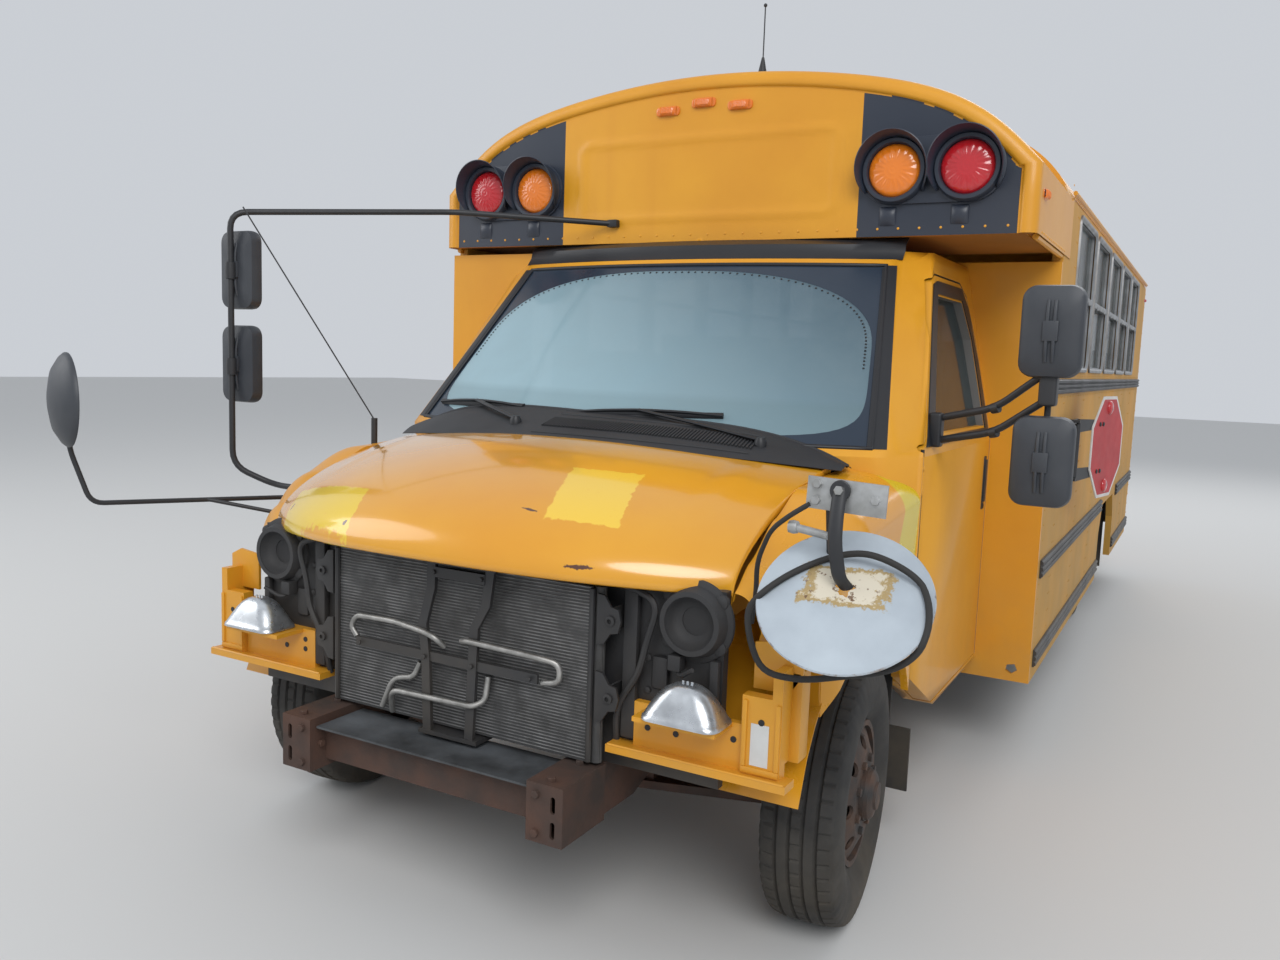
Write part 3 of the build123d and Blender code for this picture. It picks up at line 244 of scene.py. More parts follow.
dustTint, chipTint = (0.3, 0.22, 0.12), (0.1, 0.04, 0.02)
paints = {  # export slot, two tones, roughness, the rest of the look, the frame nodes that wear it
    "busYellow": ("bus_yellow", (0.74, 0.34, 0.016), (0.66, 0.28, 0.012), (0.34, 0.5), dict(
        coat=0.15, dust=(dustTint, 0.35, 1.1, 0.35), chips=(chipTint, 34, 0.79), grain=(260, 0.03), streaks=0.35),
        "cab_shell driver_door fender_left fender_right front_bulkhead front_cap hood lamp_brackets rear_door "
        "rear_wall roof"),
    # side walls: a darker, duller copy of the bus yellow, partly painted shade of the sides under the cap's
    # overhang and partly faded, dusty paint
    "sideYellow": ("bus_yellow", (0.66, 0.31, 0.022), (0.5, 0.26, 0.035), (0.45, 0.7), dict(
        dust=((0.3, 0.21, 0.07), 0.35, 1.6, 0.55), chips=(chipTint, 30, 0.77), streaks=0.5),
        "side_wall_left side_wall_right"),
    "satinBlack": ("black_metal", (0.016, 0.017, 0.02), (0.028, 0.029, 0.032), (0.35, 0.6), dict(
        dust=(dustTint, 0.2, 1.2, 0.25), grain=(900, 0.06)),
        "antennas entrance_leaf_front entrance_leaf_rear mirrors_left mirrors_right radiator_support "
        "rear_bumper rub_rails stop_arm_box wipers"),
    "mouldedBlack": ("black_plastic", (0.022, 0.023, 0.026), (0.04, 0.041, 0.044), (0.5, 0.8), dict(
        dust=(dustTint, 0.3, 1.2, 0.2), grain=(1400, 0.25)), "cowl"),
    "rustySteel": ("chassis_steel", (0.042, 0.03, 0.025), (0.085, 0.042, 0.028), (0.6, 0.9), dict(
        patch=7, grain=(420, 0.4)),
        "frame_rails front_suspension knuckle_left knuckle_right rear_axle underbody"),
    "wheelSteel": ("wheel_steel", (0.03, 0.028, 0.027), (0.085, 0.045, 0.028), (0.5, 0.8), dict(
        patch=11, grain=(500, 0.25)), "rim_front_left rim_front_right rims_rear_left rims_rear_right"),
    "tyreBlack": ("tyre", (0.02, 0.02, 0.02), (0.04, 0.038, 0.035), (0.7, 0.95), dict(
        patch=9, dust=(dustTint, 0.0, 0.5, 0.22), grain=(1600, 0.25)),
        "tyre_front_left tyre_front_right tyres_rear_left tyres_rear_right"),
    "flapRubber": ("black_rubber", (0.018, 0.018, 0.018), (0.032, 0.03, 0.028), (0.6, 0.85), dict(
        dust=(dustTint, 0.2, 0.6, 0.3), grain=(700, 0.2)), "mud_flaps"),
    "sashMetal": ("window_frame", (0.38, 0.39, 0.4), (0.26, 0.26, 0.26), (0.35, 0.55), dict(
        patch=12, metal=0.8, grain=(900, 0.08)), "side_windows"),
    "ironBlock": ("engine_iron", (0.05, 0.048, 0.046), (0.1, 0.075, 0.055), (0.55, 0.85), dict(
        patch=9, grain=(300, 0.5)), "engine_block"),
    "floorRubber": ("floor_steel", (0.05, 0.052, 0.055), (0.075, 0.073, 0.07), (0.6, 0.85), dict(
        grain=(500, 0.3)), "body_floor"),
    "cabinGrey": ("dash_plastic", (0.13, 0.125, 0.12), (0.17, 0.165, 0.155), (0.5, 0.75), dict(
        grain=(1500, 0.3)), "dashboard seat_frames steering_wheel"),
    "seatVinyl": ("seat_vinyl", (0.045, 0.075, 0.05), (0.06, 0.09, 0.06), (0.4, 0.6), dict(
        patch=5, grain=(900, 0.35)), "seats"),
    "signRed": ("sign_red", (0.5, 0.018, 0.022), (0.42, 0.015, 0.02), (0.3, 0.5), dict(patch=7), "stop_sign"),
    "signWhite": ("sign_red", (0.72, 0.7, 0.68), (0.6, 0.57, 0.54), (0.35, 0.55), dict(patch=9), ""),
    "whiteEnamel": ("mirror_plate", (0.74, 0.76, 0.78), (0.66, 0.68, 0.69), (0.3, 0.5), dict(
        patch=6, chips=((0.16, 0.07, 0.03), 26, 0.71)), "crossview_left"),
    "redLens": ("lamp_lens", (0.55, 0.012, 0.02), (0.45, 0.01, 0.015), (0.1, 0.2), dict(coat=0.8),
                "warning_lamps marker_lamps"),
    "amberLens": ("lamp_lens", (0.85, 0.22, 0.01), (0.75, 0.17, 0.01), (0.1, 0.2), dict(coat=0.8), ""),
    "brightShell": ("reflector", (0.72, 0.75, 0.78), (0.5, 0.52, 0.54), (0.18, 0.4), dict(
        patch=14, metal=0.9, grain=(700, 0.08)), "headlamps"),
    "quarterBlack": ("black_metal", (0.022, 0.03, 0.048), (0.034, 0.042, 0.06), (0.28, 0.45), dict(
        dust=(dustTint, 1.6, 2.4, 0.1), grain=(600, 0.04)), ""),
    # the cap's underside: a darker, duller orange, painted shade under the overhang
    "capUnder": ("bus_yellow", (0.4, 0.15, 0.008), (0.32, 0.12, 0.008), (0.6, 0.8), dict(patch=3), ""),
    "seamBlack": ("black_plastic", (0.012, 0.013, 0.016), (0.02, 0.021, 0.024), (0.35, 0.55), dict(
        grain=(900, 0.05)), ""),
    "borderBlack": ("dark_glass", (0.02, 0.032, 0.052), (0.03, 0.044, 0.066), (0.15, 0.3), {}, ""),
    "tubeAlloy": ("cooler_aluminium", (0.3, 0.3, 0.3), (0.12, 0.12, 0.12), (0.35, 0.65), dict(
        patch=16, metal=0.7, dust=((0.09, 0.08, 0.07), 0.4, 1.3, 0.6), grain=(700, 0.2)), ""),
    "pipeAlloy": ("cooler_aluminium", (0.46, 0.45, 0.43), (0.28, 0.275, 0.26), (0.4, 0.6), dict(
        patch=22, metal=0.9, grain=(500, 0.06)), ""),
    # black sheet with lighter bluish-grey patches, and roughness that runs from glossy to matt
    "wetSheet": ("black_plastic", (0.026, 0.027, 0.028), (0.115, 0.125, 0.135), (0.25, 0.85), dict(
        patch=3.6, grain=(300, 0.1)), "air_deflector"),
    "blankLabel": ("mirror_plate", (0.7, 0.71, 0.7), (0.6, 0.6, 0.58), (0.4, 0.6), dict(patch=9), ""),
    "mirrorShell": ("black_metal", (0.03, 0.034, 0.042), (0.05, 0.055, 0.064), (0.38, 0.6), dict(
        patch=3, grain=(1100, 0.1)), ""),
    "mirrorFace": ("reflector", (0.8, 0.82, 0.84), (0.72, 0.74, 0.76), (0.02, 0.06), dict(metal=1.0, patch=5), ""),
    "zincPlate": ("mirror_plate", (0.52, 0.53, 0.53), (0.34, 0.34, 0.33), (0.35, 0.6), dict(
        patch=20, metal=0.75, chips=((0.12, 0.07, 0.04), 40, 0.7), grain=(400, 0.12)), ""),
}
for name, (slot, base, shade, rough, look, wearers) in paints.items():
    addFinish(name, slot, paintFinish(name, base, shade, rough, **look), wearers)
addFinish("darkGlass", "dark_glass", glassFinish("darkGlass", (0.035, 0.055, 0.06), 0.03, 0.78),
    "windshield driver_door_glass")
addFinish("clearGlass", "window_glass", glassFinish("clearGlass", (0.1, 0.12, 0.12), 0.04, 0.45), "body_glass")
print(len(finishes), "finishes ready")

def settle(name, made, finish, body="chassis", replaces=(), angle=35, keepFaces=False):
    # A finished piece: its mesh at the origin, its finish, the body it rides on and the nodes it stands for
    mesh = meshOf(name, made, not keepFaces) if isinstance(made, bmesh.types.BMesh) else made
    mesh.shade_smooth()
    mesh.set_sharp_from_angle(angle=radians(angle))
    if mesh.materials:
        mesh.materials.clear()
    keys = [finish] if isinstance(finish, str) else finish
    for key in keys:
        mesh.materials.append(finishes[key])
    piece = addObject(name, mesh)
    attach(piece, body)
    if replaces:
        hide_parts(*replaces)
    return piece


def grid(bm, rows, closeRows=False, closeColumns=False, ends=False):
    # Quads through rows of points, on request with a face on the first and the last row
    made = [[bm.verts.new(p) for p in row] for row in rows]
    tall, wide = len(made), len(made[0])
    for i in range(tall if closeRows else tall - 1):
        for j in range(wide if closeColumns else wide - 1):
            a, b = made[i], made[(i + 1) % tall]
            k = (j + 1) % wide
            bm.faces.new((a[j], a[k], b[k], b[j]))
    if ends:
        bm.faces.new(made[0])
        bm.faces.new(made[-1])
    return made


def shell(bm, rows, thick):
    # A closed skin: the rows, their copies a thickness behind them, and the rim between
    tall, wide = len(rows), len(rows[0])
    points = [[Vector(p) for p in row] for row in rows]
    back = []
    for i in range(tall):
        line = []
        for j in range(wide):
            across = points[i][min(j + 1, wide - 1)] - points[i][max(j - 1, 0)]
            down = points[min(i + 1, tall - 1)][j] - points[max(i - 1, 0)][j]
            normal = across.cross(down)
            line.append(points[i][j] + normal.normalized() * thick if normal.length > 1e-12
                else points[i][j].copy())
        back.append(line)
    front, rear = grid(bm, points), grid(bm, back)
    rim = [(0, j) for j in range(wide)] + [(i, wide - 1) for i in range(1, tall)]
    rim += [(tall - 1, j) for j in range(wide - 2, -1, -1)] + [(i, 0) for i in range(tall - 2, 0, -1)]
    for n, (i, j) in enumerate(rim):
        p, q = rim[(n + 1) % len(rim)]
        bm.faces.new((front[i][j], front[p][q], rear[p][q], rear[i][j]))


def block(bm, low, high, bevel=0.0, steps=2):
    # A box between two corners with rounded edges
    low, high = Vector(low), Vector(high)
    place = Matrix.Translation((low + high) / 2) @ Matrix.Diagonal((*[abs(v) for v in high - low], 1))
    made = bmesh.ops.create_cube(bm, size=1, matrix=place)["verts"]
    if bevel:
        edges = list({e for v in made for e in v.link_edges})
        bmesh.ops.bevel(bm, geom=edges, offset=bevel, segments=steps, profile=0.6, affect="EDGES")


def frameOn(origin, facing, up=(0, 0, 1)):
    # Matrix with z along facing and y near up
    z = Vector(facing).normalized()
    x = Vector(up).cross(z)
    x = x.normalized() if x.length > 1e-6 else Vector((1, 0, 0))
    return Matrix.Translation(Vector(origin)) @ Matrix((x, z.cross(x), z)).transposed().to_4x4()


def turned(bm, profile, place, sides=32):
    # Points (radius, height) turned about the matrix's z axis
    rows = [[place @ Vector((r * cos(a), r * sin(a), h)) for r, h in profile] for a in around(sides)]
    made = grid(bm, rows, closeRows=True)
    for end in (0, -1):
        if profile[end][0] > 1e-6:
            bm.faces.new([row[end] for row in made])
    bmesh.ops.remove_doubles(bm, verts=[v for row in made for v in row], dist=1e-6)


def plate(bm, outline, place, thick, bevel=0.0):
    # A flat outline made thick along the matrix's z axis
    verts = [bm.verts.new(place @ Vector((x, y, 0))) for x, y in outline]
    face = bm.faces.new(verts)
    made = bmesh.ops.extrude_face_region(bm, geom=[face])
    moved = [v for v in made["geom"] if isinstance(v, bmesh.types.BMVert)]
    bmesh.ops.translate(bm, verts=moved, vec=place.to_3x3() @ Vector((0, 0, thick)))
    if bevel:
        edges = list({e for v in moved for e in v.link_edges if all(w in moved for w in e.verts)})
        bmesh.ops.bevel(bm, geom=edges, offset=bevel, segments=2, profile=0.6, affect="EDGES")


def roundCorners(wide, high, radius, steps=5):
    # Outline of a rounded rectangle about the middle
    points = []
    for sx, sy, start in ((1, 1, 0), (-1, 1, 90), (-1, -1, 180), (1, -1, 270)):
        for k in range(steps + 1):
            angle = radians(start + 90 * k / steps)
            points.append((sx * (wide / 2 - radius) + radius * cos(angle),
                sy * (high / 2 - radius) + radius * sin(angle)))
    return points


def bentPath(points, bend, steps=5):
    # A line with its corners rounded, for a stiff tube or strip
    points = [Vector(p) for p in points]
    path = [points[0]]
    for before, corner, after in zip(points, points[1:], points[2:]):
        reach = min(bend, (before - corner).length * 0.45, (after - corner).length * 0.45)
        a = corner + (before - corner).normalized() * reach
        b = corner + (after - corner).normalized() * reach
        for k in range(steps + 1):
            t = k / steps
            path.append(a * (1 - t) ** 2 + corner * 2 * t * (1 - t) + b * t * t)
    path.append(points[-1])
    return path


def pipe(bm, points, radius, bend=0.03, sides=10, flat=1.0, up=(0, 0, 1), caps=True):
    # A tube, or with flat under 1 a strip, along a bent path
    path = bentPath(points, bend) if bend else [Vector(p) for p in points]
    rows = []
    side = None
    for i, p in enumerate(path):
        ahead = (path[min(i + 1, len(path) - 1)] - path[max(i - 1, 0)]).normalized()
        if side is None:
            side = Vector(up).cross(ahead)
            side = side.normalized() if side.length > 1e-5 else Vector((1, 0, 0))
        side = (side - ahead * side.dot(ahead)).normalized()
        top = ahead.cross(side)
        r = radius[i * len(radius) // len(path)] if isinstance(radius, (list, tuple)) else radius
        rows.append([p + side * r * cos(a) + top * r * flat * sin(a) for a in around(sides)])
    grid(bm, rows, closeColumns=True, ends=caps)


def worked(piece):
    # A plain mesh of an object with its modifiers at work
    return bpy.data.meshes.new_from_object(piece.evaluated_get(bpy.context.evaluated_depsgraph_get()))


def meshOf(name, bm, recalculate=True):
    if recalculate:
        bmesh.ops.recalc_face_normals(bm, faces=bm.faces)
    mesh = bpy.data.meshes.new(name)
    bm.to_mesh(mesh)
    bm.free()
    return mesh


def unit(name, build):
    # A small shape that is repeated by the tree below
    bm = bmesh.new()
    build(bm)
    return meshOf(name, bm)


def repeatTree():
    # Geometry Nodes: one shape on every point, facing and lying as the point's attributes say
    tree = bpy.data.node_groups.new("repeatOnPoints", "GeometryNodeTree")
    face = tree.interface
    for name, kind, way in (("Points", "NodeSocketGeometry", "INPUT"), ("Shape", "NodeSocketObject", "INPUT"),
            ("Size", "NodeSocketFloat", "INPUT"), ("Uneven", "NodeSocketFloat", "INPUT"),
            ("Seed", "NodeSocketInt", "INPUT"), ("Finish", "NodeSocketMaterial", "INPUT"),
            ("Result", "NodeSocketGeometry", "OUTPUT")):
        face.new_socket(name=name, in_out=way, socket_type=kind)
    add = tree.nodes.new
    start, end = add("NodeGroupInput"), add("NodeGroupOutput")
    shape = add("GeometryNodeObjectInfo")
    place = add("GeometryNodeInstanceOnPoints")
    facing, lying = add("GeometryNodeInputNamedAttribute"), add("GeometryNodeInputNamedAttribute")
    turnOut, turnAlong = add("FunctionNodeAlignRotationToVector"), add("FunctionNodeAlignRotationToVector")
    chance, scale = add("FunctionNodeRandomValue"), add("ShaderNodeMath")
    realize, paint = add("GeometryNodeRealizeInstances"), add("GeometryNodeSetMaterial")
    for node, name in ((facing, "facing"), (lying, "lying")):
        node.data_type = "FLOAT_VECTOR"
        node.inputs["Name"].default_value = name
    turnOut.axis, turnAlong.axis, turnAlong.pivot_axis = "Z", "X", "Z"
    low, high = add("ShaderNodeMath"), add("ShaderNodeMath")
    low.operation, high.operation, scale.operation = "SUBTRACT", "ADD", "MULTIPLY"
    low.inputs[0].default_value = high.inputs[0].default_value = 1
    chance.data_type = "FLOAT"
    for source, output, target, entry in (
            (start, "Uneven", low, 1), (start, "Uneven", high, 1), (low, 0, chance, 2), (high, 0, chance, 3),
            (start, "Seed", chance, "Seed"), (chance, 1, scale, 0), (start, "Size", scale, 1),
            (start, "Shape", shape, "Object"), (start, "Points", place, "Points"),
            (shape, "Geometry", place, "Instance"), (facing, "Attribute", turnOut, "Vector"),
            (turnOut, "Rotation", turnAlong, "Rotation"), (lying, "Attribute", turnAlong, "Vector"),
            (turnAlong, "Rotation", place, "Rotation"), (scale, 0, place, "Scale"),
            (place, "Instances", realize, "Geometry"), (realize, "Geometry", paint, "Geometry"),
            (start, "Finish", paint, "Material"), (paint, "Geometry", end, "Result")):
        tree.links.new(source.outputs[output], target.inputs[entry])
    return tree


repeatOnPoints = repeatTree()


def repeat(name, shape, places, finish, body="chassis", size=1.0, uneven=0.0, seed=3, merge=0.0, angle=35,
        replaces=()):
    # places holds (point, facing, lying) for every copy of the shape
    mesh = bpy.data.meshes.new(name + "Points")
    mesh.from_pydata([tuple(p[0]) for p in places], [], [])
    for column, key in ((1, "facing"), (2, "lying")):
        values = mesh.attributes.new(key, "FLOAT_VECTOR", "POINT")
        values.data.foreach_set("vector", [c for p in places for c in p[column]])
    holder, sample = addObject(name + "Holder", mesh), addObject(name + "Shape", shape)
    modifier = holder.modifiers.new("repeat", "NODES")
    modifier.node_group = repeatOnPoints
    values = dict(Shape=sample, Size=size, Uneven=uneven, Seed=seed, Finish=finishes[finish])
    for socket in repeatOnPoints.interface.items_tree:
        if socket.in_out == "INPUT" and socket.name in values:
            modifier[socket.identifier] = values[socket.name]
    made = worked(holder)
    holder.modifiers.remove(modifier)
    bpy.data.objects.remove(holder)
    bpy.data.objects.remove(sample)
    made.name = name
    if merge:
        bm = bmesh.new()
        bm.from_mesh(made)
        bmesh.ops.remove_doubles(bm, verts=bm.verts, dist=merge)
        bmesh.ops.recalc_face_normals(bm, faces=bm.faces)
        bm.to_mesh(made)
        bm.free()
    return settle(name, made, finish, body, replaces, angle)


def dome(bm, radius=0.005, high=0.0025, sides=8):
    turned(bm, [(radius, 0), (radius * 0.86, high * 0.6), (radius * 0.45, high * 0.94), (0, high)], Matrix(), sides)


rivetShape = unit("rivetShape", dome)
hexShape = unit("hexShape", lambda bm: turned(bm, [(0.011, 0), (0.011, 0.008), (0.0095, 0.0095), (0, 0.0095)],
    Matrix(), 6))


def rowOf(start, end, pitch, facing, lying=(0, 0, 1)):
    # Evenly spaced places between two points
    start, end = Vector(start), Vector(end)
    count = max(2, round((end - start).length / pitch) + 1)
    return [(start.lerp(end, k / (count - 1)), facing, lying) for k in range(count)]


print("tools ready")

# Hood: crowned sheet with a steep rounded nose, its rear edge following the windscreen
hoodPlan = dict(half=0.788, rearMiddle=-0.11, rearSweep=0.305, lipMiddle=-0.741, lipSweep=0.25, rearHigh=1.331,
    lipLow=1.055, fold=0.022, creaseAt=0.615, creaseHigh=0.006)


def hoodHigh(x, t):
    k = min(1, abs(x) / 0.8)
    rear, lip = hoodPlan["rearHigh"] - 0.05 * k * k, hoodPlan["lipLow"] - 0.03 * k * k
    z = rear - (rear - lip) * (0.75 * (1 - sqrt(max(0, 1 - t * t))) + 0.25 * t)
    crease = exp(-((abs(x) - hoodPlan["creaseAt"] - 0.02 * t) / 0.022) ** 2)
    return z + hoodPlan["creaseHigh"] * crease * sin(pi * min(1, max(0, (t - 0.12) / 0.62))) ** 0.7


def hoodLine(x):
    k = min(1, abs(x) / 0.8)
    return (aft(hoodPlan["rearMiddle"] + hoodPlan["rearSweep"] * k * k),
        aft(hoodPlan["lipMiddle"] + hoodPlan["lipSweep"] * k ** 2.4))


def makeHood():
    half, fold = hoodPlan["half"], hoodPlan["fold"]
    rows = []
    for i in range(57):
        x = half * sin(pi / 2 * (i / 28 - 1))
        rear, lip = hoodLine(x)
        line = [(x * 0.998, rear + 0.004, hoodHigh(x, 0) - fold), (x, rear, hoodHigh(x, 0) - 0.006)]
        for j in range(37):
            t = sin(pi / 2 * j / 36)
            line.append((x, rear + (lip - rear) * t, hoodHigh(x, t)))
        for scale, back, drop in ((0.999, 0.001, 0.01), (0.996, 0.006, 0.014), (0.985, 0.024, 0.014)):
            line.append((x * scale, lip + back, hoodHigh(x, 1) - drop))
        rows.append(line)
    for end, out in ((0, -1), (-1, 1)):
        edge = rows[end]
        turn = [(p[0] + out * 0.001, p[1], p[2] - 0.005) for p in edge]
        low = [(p[0], p[1], p[2] - fold) for p in edge]
        rows = [low, turn] + rows if end == 0 else rows + [turn, low]
    bm = bmesh.new()
    shell(bm, rows, 0.0015)
    # Pressed frame below the skin
    inner = []
    for i in range(25):
        x = (half - 0.03) * (i / 12 - 1)
        rear, lip = hoodLine(x)
        line = []
        for j in range(21):
            t = 0.03 + 0.9 * j / 20
            rib = 0.012 * (sin(x * 13) ** 2 > 0.5) + 0.01 * (j in (3, 4, 10, 11, 16, 17))
            line.append((x, rear + (lip - rear) * t, hoodHigh(x, t) - 0.012 - rib))
        inner.append(line)
    shell(bm, inner, -0.0012)
    settle("hoodSkin", bm, "hoodYellow", "hood", ["hood"], angle=50)


def hoodPaint():
    # The bus paint with two older lime patches where tape was, chips along the lip and a scratch
    w = Wiring("hoodYellow")
    colour = w.mix(w.ramp(w.noise(1.4, 5), 0.35, 0.65), (0.76, 0.36, 0.016), (0.7, 0.3, 0.012))
    x, y, z = w.axis("X"), w.axis("Y"), w.axis("Z")
    ragged = w.times(w.minus(w.noise(40, 4), 0.5), 0.03)
    patches = [  # middle x, middle station, half width, half length, slant
        (0.368, -0.47, 0.105, 0.135, -0.28), (-0.485, -0.605, 0.18, 0.062, 0.28)]
    for px, py, wide, long, slant in patches:
        dx, dy = w.minus(x, px), w.minus(y, aft(py))
        along = w.plus(dx, w.times(dy, -slant if px > 0 else slant))
        across = w.plus(dy, w.times(dx, slant))
        insideX = w.ramp(w.plus(w.maths("ABSOLUTE", along), ragged), wide, wide - 0.004)
        insideY = w.ramp(w.plus(w.maths("ABSOLUTE", across), ragged), long, long - 0.004)
        area = w.times(insideX, insideY)
        worn = w.times(area, w.ramp(w.noise(110, 6, 0.7), 0.28, 0.36))
        colour = w.mix(worn, colour, (0.86, 0.56, 0.045) if px > 0 else (0.82, 0.56, 0.02))
    chipX, chipZ = 0.452, 1.07  # the lip's chip is held in height too
    spots = [  # middle x, station, half width, half length, tint
        (chipX, -0.712, 0.055, 0.2, (0.09, 0.03, 0.012)), (0.255, -0.606, 0.034, 0.006, (0.1, 0.04, 0.02)),
        (-0.3, -0.7, 0.012, 0.008, (0.1, 0.04, 0.02)), (-0.66, -0.555, 0.01, 0.012, (0.3, 0.1, 0.02))]
    frayed = w.noise(90, 6, 0.75)
    for px, py, wide, long, tint in spots:
        dx = w.maths("DIVIDE", w.minus(x, px), wide)
        dy = w.maths("DIVIDE", w.minus(y, aft(py)), long)
        far = w.plus(w.times(dx, dx), w.times(dy, dy))
        if px == chipX:
            dz = w.maths("DIVIDE", w.minus(z, chipZ), 0.009)
            far = w.plus(far, w.times(dz, dz))
        far = w.maths("SQRT", far)
        colour = w.mix(w.ramp(w.plus(far, w.times(frayed, 1.6)), 1.45, 1.35), colour, tint)
    small = w.ramp(w.noise(46, 8, 0.75), 0.785, 0.8)
    colour = w.mix(small, colour, (0.12, 0.05, 0.02))
    return w.done(colour, w.noise(5, 5), (0.14, 0.3), {"Coat Weight": 0.8, "Coat Roughness": 0.08},
        (w.noise(220, 3), 0.02))


addFinish("hoodYellow", "bus_yellow", hoodPaint())
makeHood()

# Fenders: one skin each from the hood seam over the shoulder to the wheel arch
fenderPlan = dict(inner=0.796, rear=0.428, front=-0.505, arch=0.47, lip=0.012, frontLow=0.905, rearLow=0.562,
    cutAt=-0.34, arched=0.488)


def between(value, table):
    # Straight steps through (key, value...) rows
    if value <= table[0][0]:
        return table[0][1:]
    for low, high in zip(table, table[1:]):
        if value <= high[0]:
            t = (value - low[0]) / (high[0] - low[0])
            t = t * t * (3 - 2 * t) * 0.5 + t * 0.5
            return tuple(a + (b - a) * t for a, b in zip(low[1:], high[1:]))
    return table[-1][1:]


fenderTable = [  # station, seam z, shoulder z, half width
    (-0.51, 1.02, 0.93, 0.868), (-0.42, 1.085, 0.99, 0.935), (-0.27, 1.175, 1.07, 0.995),
    (-0.1, 1.245, 1.13, 1.005), (0.43, 1.283, 1.172, 1.005)]


def makeFender(side, hand):
    rows = []
    inner, cut, rear = (fenderPlan[k] for k in ("inner", "cutAt", "rear"))
    stations = {round(fenderPlan["front"] + 0.0156 * k, 4) for k in range(61)} | {cut - 0.001, cut + 0.001, rear}
    stations = sorted(s for s in stations if s <= rear)
    for s in stations:
        seam, shoulder, half = between(s, fenderTable)
        if s < cut:
            low = fenderPlan["frontLow"] + 0.03 * sin((s - cut) * 14)
        elif abs(s) < fenderPlan["arch"]:
            low = bodyPlan["hubHigh"] + sqrt(fenderPlan["arch"] ** 2 - s * s)
        else:
            low = fenderPlan["rearLow"]
        low = max(low, fenderPlan["rearLow"])
        line = [at(side * 0.792, s, seam - 0.022), at(side * 0.795, s, seam - 0.005)]
        for k in range(15):
            a = pi / 2 * k / 14
            x = inner + (half - inner) * sin(a) ** 0.92
            z = shoulder + (seam - shoulder) * cos(a) ** 1.25
            line.append(at(side * x, s, z))
        for k in range(1, 11):
            t = k / 10
            z = shoulder + (low - shoulder) * t
            nearArch = exp(-((z - low) / 0.045) ** 2) if s > cut else 0
            tuck = 0.012 * sin(pi * t)
            line.append((side * min(1.0049, half - tuck * 0.4 + fenderPlan["lip"] * nearArch * 0.5), aft(s), z))
        line += [at(side * (half - off), s, low + up) for off, up in ((0.004, -0.001), (0.024, 0.001))]
        rows.append(line)
    bm = bmesh.new()
    shell(bm, rows if side < 0 else rows[::-1], 0.0012)
    # Wheel house liner behind the skin
    liner = []
    for s in (-0.47 + 0.047 * k for k in range(20)):
        high = bodyPlan["hubHigh"] + sqrt(max(0.0, fenderPlan["arched"] ** 2 - s * s))
        liner.append([at(side * x, s, high) for x in (0.62, 0.8, 0.975)])
    shell(bm, liner, 0.003)
    settle("fenderSkin" + hand, bm, "busYellow", "chassis", ["fender_" + hand.lower()], angle=48)


for side, hand in ((1, "Left"), (-1, "Right")):
    makeFender(side, hand)
print("hood and fenders made")

# Front cap: rolled rim round a recessed face, black quarters for the warning lamps, embossed sign panel
capPlan = dict(half=1.2235, eave=2.26, corner=(1.119, 2.42), shoulder=(0.783, 2.561), crown=2.66, front=0.822,
    rear=1.68, low=2.034, recess=0.012, quarterAt=0.618, panelHalf=0.535,
    panelLow=2.122, panelHigh=2.425, emboss=0.0055, smooth=60)


def arcThrough(a, b, c, steps):
    # Points of the circle through three points, from a to c
    (ax, ay), (bx, by), (cx, cy) = a, b, c
    d = 2 * (ax * (by - cy) + bx * (cy - ay) + cx * (ay - by))
    ux = ((ax * ax + ay * ay) * (by - cy) + (bx * bx + by * by) * (cy - ay) + (cx * cx + cy * cy) * (ay - by)) / d
    uy = ((ax * ax + ay * ay) * (cx - bx) + (bx * bx + by * by) * (ax - cx) + (cx * cx + cy * cy) * (bx - ax)) / d
    r = hypot(ax - ux, ay - uy)
    first, last = atan2(ay - uy, ax - ux), atan2(cy - uy, cx - ux)
    return [(ux + r * cos(first + (last - first) * k / steps),
        uy + r * sin(first + (last - first) * k / steps)) for k in range(steps + 1)]


def capSection(inset, low):
    # The body's outline from the left eave over the crown to the right, moved inwards
    p = capPlan
    half = [(p["half"], low), (p["half"], (low + p["eave"]) / 2)]
    half += arcThrough((p["half"], p["eave"]), p["corner"], p["shoulder"], 14)
    crown = arcThrough(p["shoulder"], (0, p["crown"]), (-p["shoulder"][0], p["shoulder"][1]), 36)
    line = half + crown[1:-1] + [(-x, z) for x, z in reversed(half)]
    for turn in range(p["smooth"]):
        line = line[:3] + [tuple((a + 2 * b + c) / 4 for a, b, c in zip(line[i - 1], line[i], line[i + 1]))
            for i in range(3, len(line) - 3)] + line[-3:]
    moved = []
    for i, (x, z) in enumerate(line):
        ax, az = line[max(i - 1, 0)]
        bx, bz = line[min(i + 1, len(line) - 1)]
        dx, dz = bx - ax, bz - az
        size = hypot(dx, dz)
        moved.append((x - inset * dz / size, z + inset * dx / size) if i not in (0, len(line) - 1)
            else (x - inset * (1 if x > 0 else -1), low))
    return moved


def sectionTop(x, inset):
    line = capSection(inset, capPlan["low"])
    best = capPlan["low"]
    for (ax, az), (bx, bz) in zip(line, line[1:]):
        if min(ax, bx) - 1e-9 <= x <= max(ax, bx) + 1e-9 and abs(ax - bx) > 1e-6:
            best = max(best, az + (bz - az) * (x - ax) / (bx - ax))
    return best


